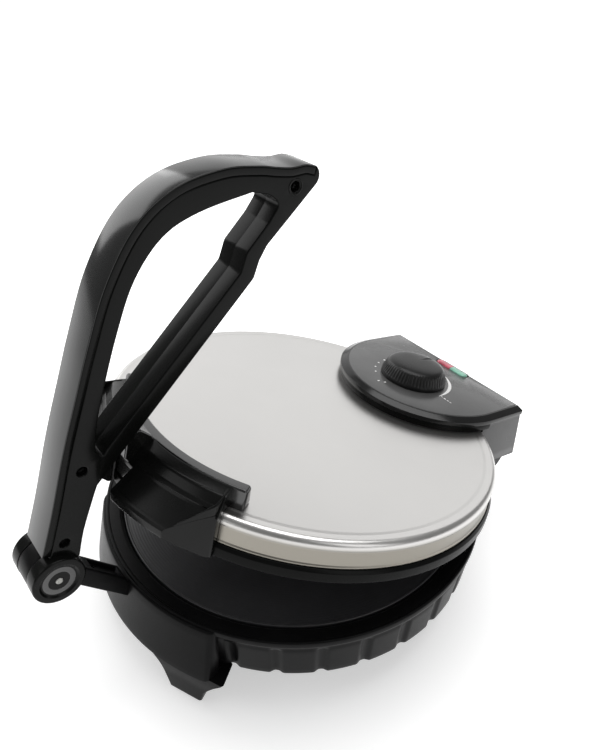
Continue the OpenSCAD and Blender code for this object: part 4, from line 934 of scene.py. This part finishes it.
panel_mesh = panel_loft([(33.0, 0.5, 167.6), (33.4, 0.1, 167.9), (34.0, 0.0, 168.0), (36.2, 0.0, 168.0),
                         (36.6, 0.15, 167.9), (36.9, 0.6, 167.6), (38.6, 4.4, 166.3), (38.9, 4.9, 166.0),
                         (39.0, 5.3, 165.8)])
panel_mesh = cut_from(panel_mesh, prism(window_line(33.2, 8.7), 30, 50), rod_z(4.5, 30, 45, 32, y=KNOB_Y))
piece("panel_rim", panel_mesh, ON_LID, "lid", bevel_black, ("control_panel",), 30)
face_holes = [window_line(35.0, 10.6), arc(5, 0, 345, 23, (0, KNOB_Y))]
face = to_plan(slab(panel_plan(6.2, 165.0, 8.0), face_holes, edge_stations(38.6, 39.16, 0.05, 0.12, 2)))
piece("panel_face", face, ON_LID, "lid", panel_grey)


def lens_half(side):
    """Half of the indicator window: a low dome over its plan, cut off at the middle."""
    rows = []
    for z, inset in ((33.6, 0.0), (38.7, 0.0), (39.3, 0.15), (39.8, 0.7), (40.05, 1.5), (40.12, 2.4)):
        line = window_line(32 - 2 * inset, 7.5 - 2 * inset, 24)
        rows.append([(max(x, 0.12) * side, y, z) for x, y in line])
    return loft(rows)


piece("red_window", lens_half(-1), ON_LID, "lid", red_clear, ("red_lens",))
piece("green_window", lens_half(1), ON_LID, "lid", green_clear, ("green_lens",))


def knob_mesh():
    """A knob with a fluted skirt that leans in, a rounded shoulder, a low dome and a pointer groove."""
    rows = []
    flutes, steps = 60, 960
    # Radius, height and how deep the flutes are there
    path = [(0, 39.45, 0), (25.908, 39.45, 0), (26.418, 39.7, 0), (26.52, 40.4, 0), (26.52, 42.186, 0),
            (26.265, 42.837, 0.3), (25.806, 44.046, 1), (24.99, 46.278, 1), (24.276, 47.952, 1),
            (23.664, 49.068, 0.8), (22.848, 50.184, 0.45), (21.726, 51.207, 0.15), (20.4, 51.951, 0),
            (18.564, 52.602, 0), (16.116, 53.16, 0), (12.75, 53.625, 0), (8.67, 53.997, 0),
            (4.08, 54.2295, 0), (0, 54.2946, 0)]
    shoulder = 49.4
    for i in range(steps):
        a = 2 * math.pi * i / steps
        flute = 0.5 - 0.5 * math.cos(flutes * a)
        row = []
        for r, z, deep in path:
            r -= 0.42 * deep * flute
            x, y = r * math.cos(a), r * math.sin(a)
            if z > shoulder:
                z -= 0.55 * math.exp(-(x / 1.1) ** 4) * smoothstep((y - 6) / 3)
            row.append((x, y, z))
        rows.append(row)
    return loft(rows, ring=True)


piece("thermostat_knob", knob_mesh(), ON_LID @ shift(y=KNOB_Y), "knob", knob_black,
      ("control_knob",), 40)


# ---- what repeats: one tree sets copies of a small mesh along an arc ----

def copies_on_arc():
    """Node tree: the object's mesh, set on an arc about Z, turned with it and growing from first to last."""
    tree = bpy.data.node_groups.new("copies_on_arc", "GeometryNodeTree")
    face = tree.interface
    face.new_socket("Geometry", in_out="INPUT", socket_type="NodeSocketGeometry")
    face.new_socket("Count", in_out="INPUT", socket_type="NodeSocketInt").default_value = 8
    for label, value in (("Radius", 10.0), ("First angle", 0.0), ("Angle step", 45.0), ("First size", 1.0),
                         ("Last size", 1.0)):
        face.new_socket(label, in_out="INPUT", socket_type="NodeSocketFloat").default_value = value
    face.new_socket("Material", in_out="INPUT", socket_type="NodeSocketMaterial")
    face.new_socket("Geometry", in_out="OUTPUT", socket_type="NodeSocketGeometry")
    link, new = tree.links.new, tree.nodes.new
    given, made = new("NodeGroupInput"), new("NodeGroupOutput")

    def maths(operation, a, b):
        step = new("ShaderNodeMath")
        step.operation = operation
        for socket, value in zip(step.inputs, (a, b)):
            if isinstance(value, (int, float)):
                socket.default_value = value
            else:
                link(value, socket)
        return step.outputs[0]

    points = new("GeometryNodePoints")
    link(given.outputs["Count"], points.inputs["Count"])
    index = new("GeometryNodeInputIndex").outputs[0]
    turned_by = maths("MULTIPLY", index, given.outputs["Angle step"])
    angle = maths("RADIANS", maths("ADD", given.outputs["First angle"], turned_by), 0.0)
    place = new("ShaderNodeCombineXYZ")
    link(maths("MULTIPLY", given.outputs["Radius"], maths("COSINE", angle, 0.0)), place.inputs["X"])
    link(maths("MULTIPLY", given.outputs["Radius"], maths("SINE", angle, 0.0)), place.inputs["Y"])
    link(place.outputs[0], points.inputs["Position"])
    share = maths("DIVIDE", index, maths("MAXIMUM", maths("SUBTRACT", given.outputs["Count"], 1), 1))
    grown = maths("SUBTRACT", given.outputs["Last size"], given.outputs["First size"])
    size = maths("ADD", given.outputs["First size"], maths("MULTIPLY", share, grown))
    turned = new("ShaderNodeCombineXYZ")
    link(angle, turned.inputs["Z"])
    rotation = new("FunctionNodeEulerToRotation")
    link(turned.outputs[0], rotation.inputs[0])
    scaled = new("ShaderNodeCombineXYZ")
    for axis in "XYZ":
        link(size, scaled.inputs[axis])
    put = new("GeometryNodeInstanceOnPoints")
    link(points.outputs[0], put.inputs["Points"])
    link(given.outputs["Geometry"], put.inputs["Instance"])
    link(rotation.outputs[0], put.inputs["Rotation"])
    link(scaled.outputs[0], put.inputs["Scale"])
    real = new("GeometryNodeRealizeInstances")
    link(put.outputs[0], real.inputs[0])
    finish = new("GeometryNodeSetMaterial")
    link(real.outputs[0], finish.inputs["Geometry"])
    link(given.outputs["Material"], finish.inputs["Material"])
    link(finish.outputs[0], made.inputs["Geometry"])
    return tree


arc_tree = copies_on_arc()


def along_arc(mesh, material, count, radius, first, step, sizes=(1.0, 1.0)):
    """Copies of a mesh along an arc, made by the tree, as one plain mesh."""
    obj = put_in_scene("seed", mesh)
    modifier = obj.modifiers.new("arc", "NODES")
    modifier.node_group = arc_tree
    wanted = {"Count": count, "Radius": float(radius), "First angle": float(first),
              "Angle step": float(step), "First size": float(sizes[0]), "Last size": float(sizes[1]),
              "Material": material}
    for item in arc_tree.interface.items_tree:
        if item.in_out == "INPUT" and item.name in wanted:
            modifier[item.identifier] = wanted[item.name]
    return baked(obj)


# Printed dial: dots on the left, a growing arc on the right, short marks between them
# The tree scales about the origin, so dot and bar are made at height 0 and lifted afterwards.
PRINT_Z, INK = 39.2, 0.06
dot = swept(rounded([(0, 0, 0), (0.75, 0, 0), (0.75, INK, 0.03), (0, INK, 0)], 0.03, 2), 0, 360, 20)
bar = ink([(-1.0, -0.5), (1.0, -0.5), (1.0, 0.5), (-1.0, 0.5)], 0, INK, 0.01)
dots = along_arc(dot, print_white, 5, 31.4, 167, 17.0, (1.2, 1.0))
marks = join(*[along_arc(bar, print_white, 1, out, a, 0) for out, a in ((31.8, 268), (35.6, 262))])
ticks = join(*[along_arc(bar, print_white, 1, out, -3, 0, (size, size)) for out, size in
               ((33.2, 0.8), (36.6, 1.1), (39.8, 0.9), (42.6, 0.7))])
crescent = arc(31.9, -6, 74, 60)
for k in range(61):
    inner_r, angle = 31.6 - 2.4 * (1 - k / 60) * k / 15, math.radians(74 - 80 * k / 60)
    crescent.append(Vector((inner_r * math.cos(angle), inner_r * math.sin(angle))))
growing = ink(crescent, PRINT_Z, INK, 0.02)
printed = moved(join(dots, marks, ticks), shift(z=PRINT_Z))
piece("dial_print", join(printed, growing), ON_LID @ shift(y=KNOB_Y), "lid", print_white)


def cross_screw():
    """A pan-head screw for the underside of the base, with a cross recess."""
    head = swept(rounded([(0, 0.0, 0), (1.4, 0.0, 0.2), (3.0, 0.5, 0.8), (3.4, 1.6, 0.5), (3.4, 2.0, 0.1),
                          (1.45, 2.0, 0.1), (1.45, 14.0, 0.3), (0, 14, 0)], 0.3, 3), 0, 360, 32)
    blade = [(-1.9, -1), (1.9, -1), (1.5, 1.1), (-1.5, 1.1)]
    return cut_from(head, *[moved(solid_yz(blade, -0.38, 0.38), turn(a)) for a in (0, 90)])


base_screws = join(*[along_arc(moved(cross_screw(), shift(z=31.95)), zinc, 2, 116, a, 140)
                     for a in (20, 200)])
piece("base_cover_screws", base_screws, ON_TABLE, "base", zinc, ("bottom_cover_screws",))
neck_screws = join(*[moved(cross_screw(), shift(x=x, y=119, z=34.5)) for x in (-44, -18, 18, 44)])
piece("neck_screws", neck_screws, ON_TABLE, "base", zinc, ("hinge_bracket_screws",))

# ---- pieces whose CAD shape is right: the same shape with softened edges ----

for node, slot_name, body, width in (("rear_hinge_bracket", "black_shell", "base", 0.0009),
                                     ("lid_hinge_arms", "zinc", "lid", 0.0005),
                                     ("bottom_cover", "cover_sheet", "base", 0.0004),
                                     ("cord_gland", "black_shell", "base", 0.0005),
                                     ("terminal_block", "ceramic", "base", 0.0006),
                                     ("thermostat", "ceramic", "lid", 0.0006),
                                     ("lamp_holder", "ceramic", "lid", 0.0004)):
    piece(node + "_soft", dressed_copy(node, width), Matrix.Identity(4), body, SLOTS[slot_name],
          (node,), merge=False)

# ---- stage, light and camera ----

def floor_material():
    """A pale floor that keeps the object's shadow and is lifted to white where the camera sees it."""
    material = bpy.data.materials.new("pale_floor")
    material.use_nodes = True
    tree = material.node_tree
    link = tree.links.new
    shader = tree.nodes["Principled BSDF"]
    for label, value in (("Base Color", (0.7, 0.7, 0.7, 1)), ("Roughness", 0.9), ("Specular IOR Level", 0.1)):
        shader.inputs[label].default_value = value
    place = node_of(tree, "ShaderNodeTexCoord")
    away = node_of(tree, "ShaderNodeVectorMath", operation="LENGTH")
    link(place.outputs["Object"], away.inputs[0])
    grow = node_of(tree, "ShaderNodeMapRange", interpolation_type="SMOOTHSTEP", From_Min=0.1, From_Max=0.3,
                   To_Min=0.46, To_Max=0.85)
    link(away.outputs["Value"], grow.inputs["Value"])
    ray = node_of(tree, "ShaderNodeLightPath")
    seen = None
    for kind in ("Is Camera Ray", "Is Glossy Ray", "Is Transmission Ray"):
        if seen is None:
            seen = ray.outputs[kind]
            continue
        either = node_of(tree, "ShaderNodeMath", operation="MAXIMUM")
        link(seen, either.inputs[0])
        link(ray.outputs[kind], either.inputs[1])
        seen = either.outputs[0]
    lift = node_of(tree, "ShaderNodeMath", operation="MULTIPLY")
    link(seen, lift.inputs[0])
    link(grow.outputs["Result"], lift.inputs[1])
    glow = node_of(tree, "ShaderNodeEmission")
    link(lift.outputs[0], glow.inputs["Strength"])
    both = node_of(tree, "ShaderNodeAddShader")
    link(shader.outputs[0], both.inputs[0])
    link(glow.outputs[0], both.inputs[1])
    link(both.outputs[0], tree.nodes["Material Output"].inputs["Surface"])
    return material


FAR, FLOOR_Z = 4000, -0.05
floor_mesh = mesh_of([(x, y, FLOOR_Z) for x, y in ((-FAR, -FAR), (FAR, -FAR), (FAR, FAR), (-FAR, FAR))],
                     [(0, 1, 2, 3)])
floor_mesh.transform(MM)
floor_mesh.materials.append(floor_material())
floor = put_in_scene("floor", floor_mesh)

world = bpy.data.worlds.new("studio")
bpy.context.scene.world = world
world.use_nodes = True
sky = world.node_tree
back_light = sky.nodes["Background"]
way = node_of(sky, "ShaderNodeTexCoord")
height = node_of(sky, "ShaderNodeVectorMath", operation="DOT_PRODUCT")
height.inputs[1].default_value = (-0.42, 0.34, 0.62)
tones = node_of(sky, "ShaderNodeValToRGB")
sky.links.new(way.outputs["Generated"], height.inputs[0])
sky.links.new(height.outputs["Value"], tones.inputs["Fac"])
for stop, position, grey in zip(tones.color_ramp.elements, (0.0, 0.7), (0.55, 0.9)):
    stop.position = position
    stop.color = (grey, grey, grey, 1)
sky.links.new(tones.outputs["Color"], back_light.inputs["Color"])
back_light.inputs["Strength"].default_value = 0.4


def softbox(name, place, aim, size, power):
    """A rectangular area light that looks from its place at its aim. Size in metres, power in watts."""
    lamp = bpy.data.lights.new(name, "AREA")
    lamp.shape = "RECTANGLE"
    lamp.size, lamp.size_y = size
    lamp.energy = power
    obj = put_in_scene(name, lamp)
    obj.location = place
    obj.rotation_mode = "QUATERNION"
    obj.rotation_quaternion = (Vector(aim) - Vector(place)).to_track_quat("-Z", "Y")


softbox("overhead", (-0.1, 0.3, 1.5), (0, 0, 0.1), (1.3, 0.9), 13)
softbox("back_card", (-1.3, 1.45, 0.86), (0, 0, 0.1), (2.6, 1.3), 9.0)
softbox("left_bank", (-1.45, -0.2, 0.95), (0, -0.1, 0.25), (1.3, 1.1), 12)
softbox("right_bank", (1.5, 0.1, 0.9), (0, 0, 0.1), (0.7, 1.1), 3.5)
softbox("low_left", (-0.45, -1.15, 1.05), (0, -0.1, 0.1), (0.8, 0.6), 2.0)
softbox("front_fill", (0.2, -1.7, 0.7), (0, 0, 0.12), (1.2, 0.5), 1.2)

# The photo's camera: its direction, its focal length in pixels of the picture's height, and its place
AZIMUTH, ELEVATION, ROLL = (math.radians(v) for v in (51.6525, 35.1897, -0.76))
FOCAL_PX, PICTURE_HEIGHT, SENSOR = 710.533, 750, 36
CAMERA_SPOT = Vector((313.3435, -242.9658, 379.4918))
behind = Vector((math.sin(AZIMUTH) * math.cos(ELEVATION), -math.cos(AZIMUTH) * math.cos(ELEVATION),
                 math.sin(ELEVATION)))
level = Vector((math.cos(AZIMUTH), math.sin(AZIMUTH), 0))
up = behind.cross(level)
side = level * math.cos(ROLL) - up * math.sin(ROLL)
up = behind.cross(side)
camera_data = bpy.data.cameras.new("camera")
camera_data.sensor_width = SENSOR
camera_data.lens = FOCAL_PX / PICTURE_HEIGHT * SENSOR
camera = put_in_scene("camera", camera_data)
camera.matrix_world = (Matrix.Translation(ON_BASE @ CAMERA_SPOT)
                       @ Matrix((side, up, behind)).transposed().to_4x4())
bpy.context.scene.camera = camera
bpy.context.scene.view_settings.view_transform = "Standard"
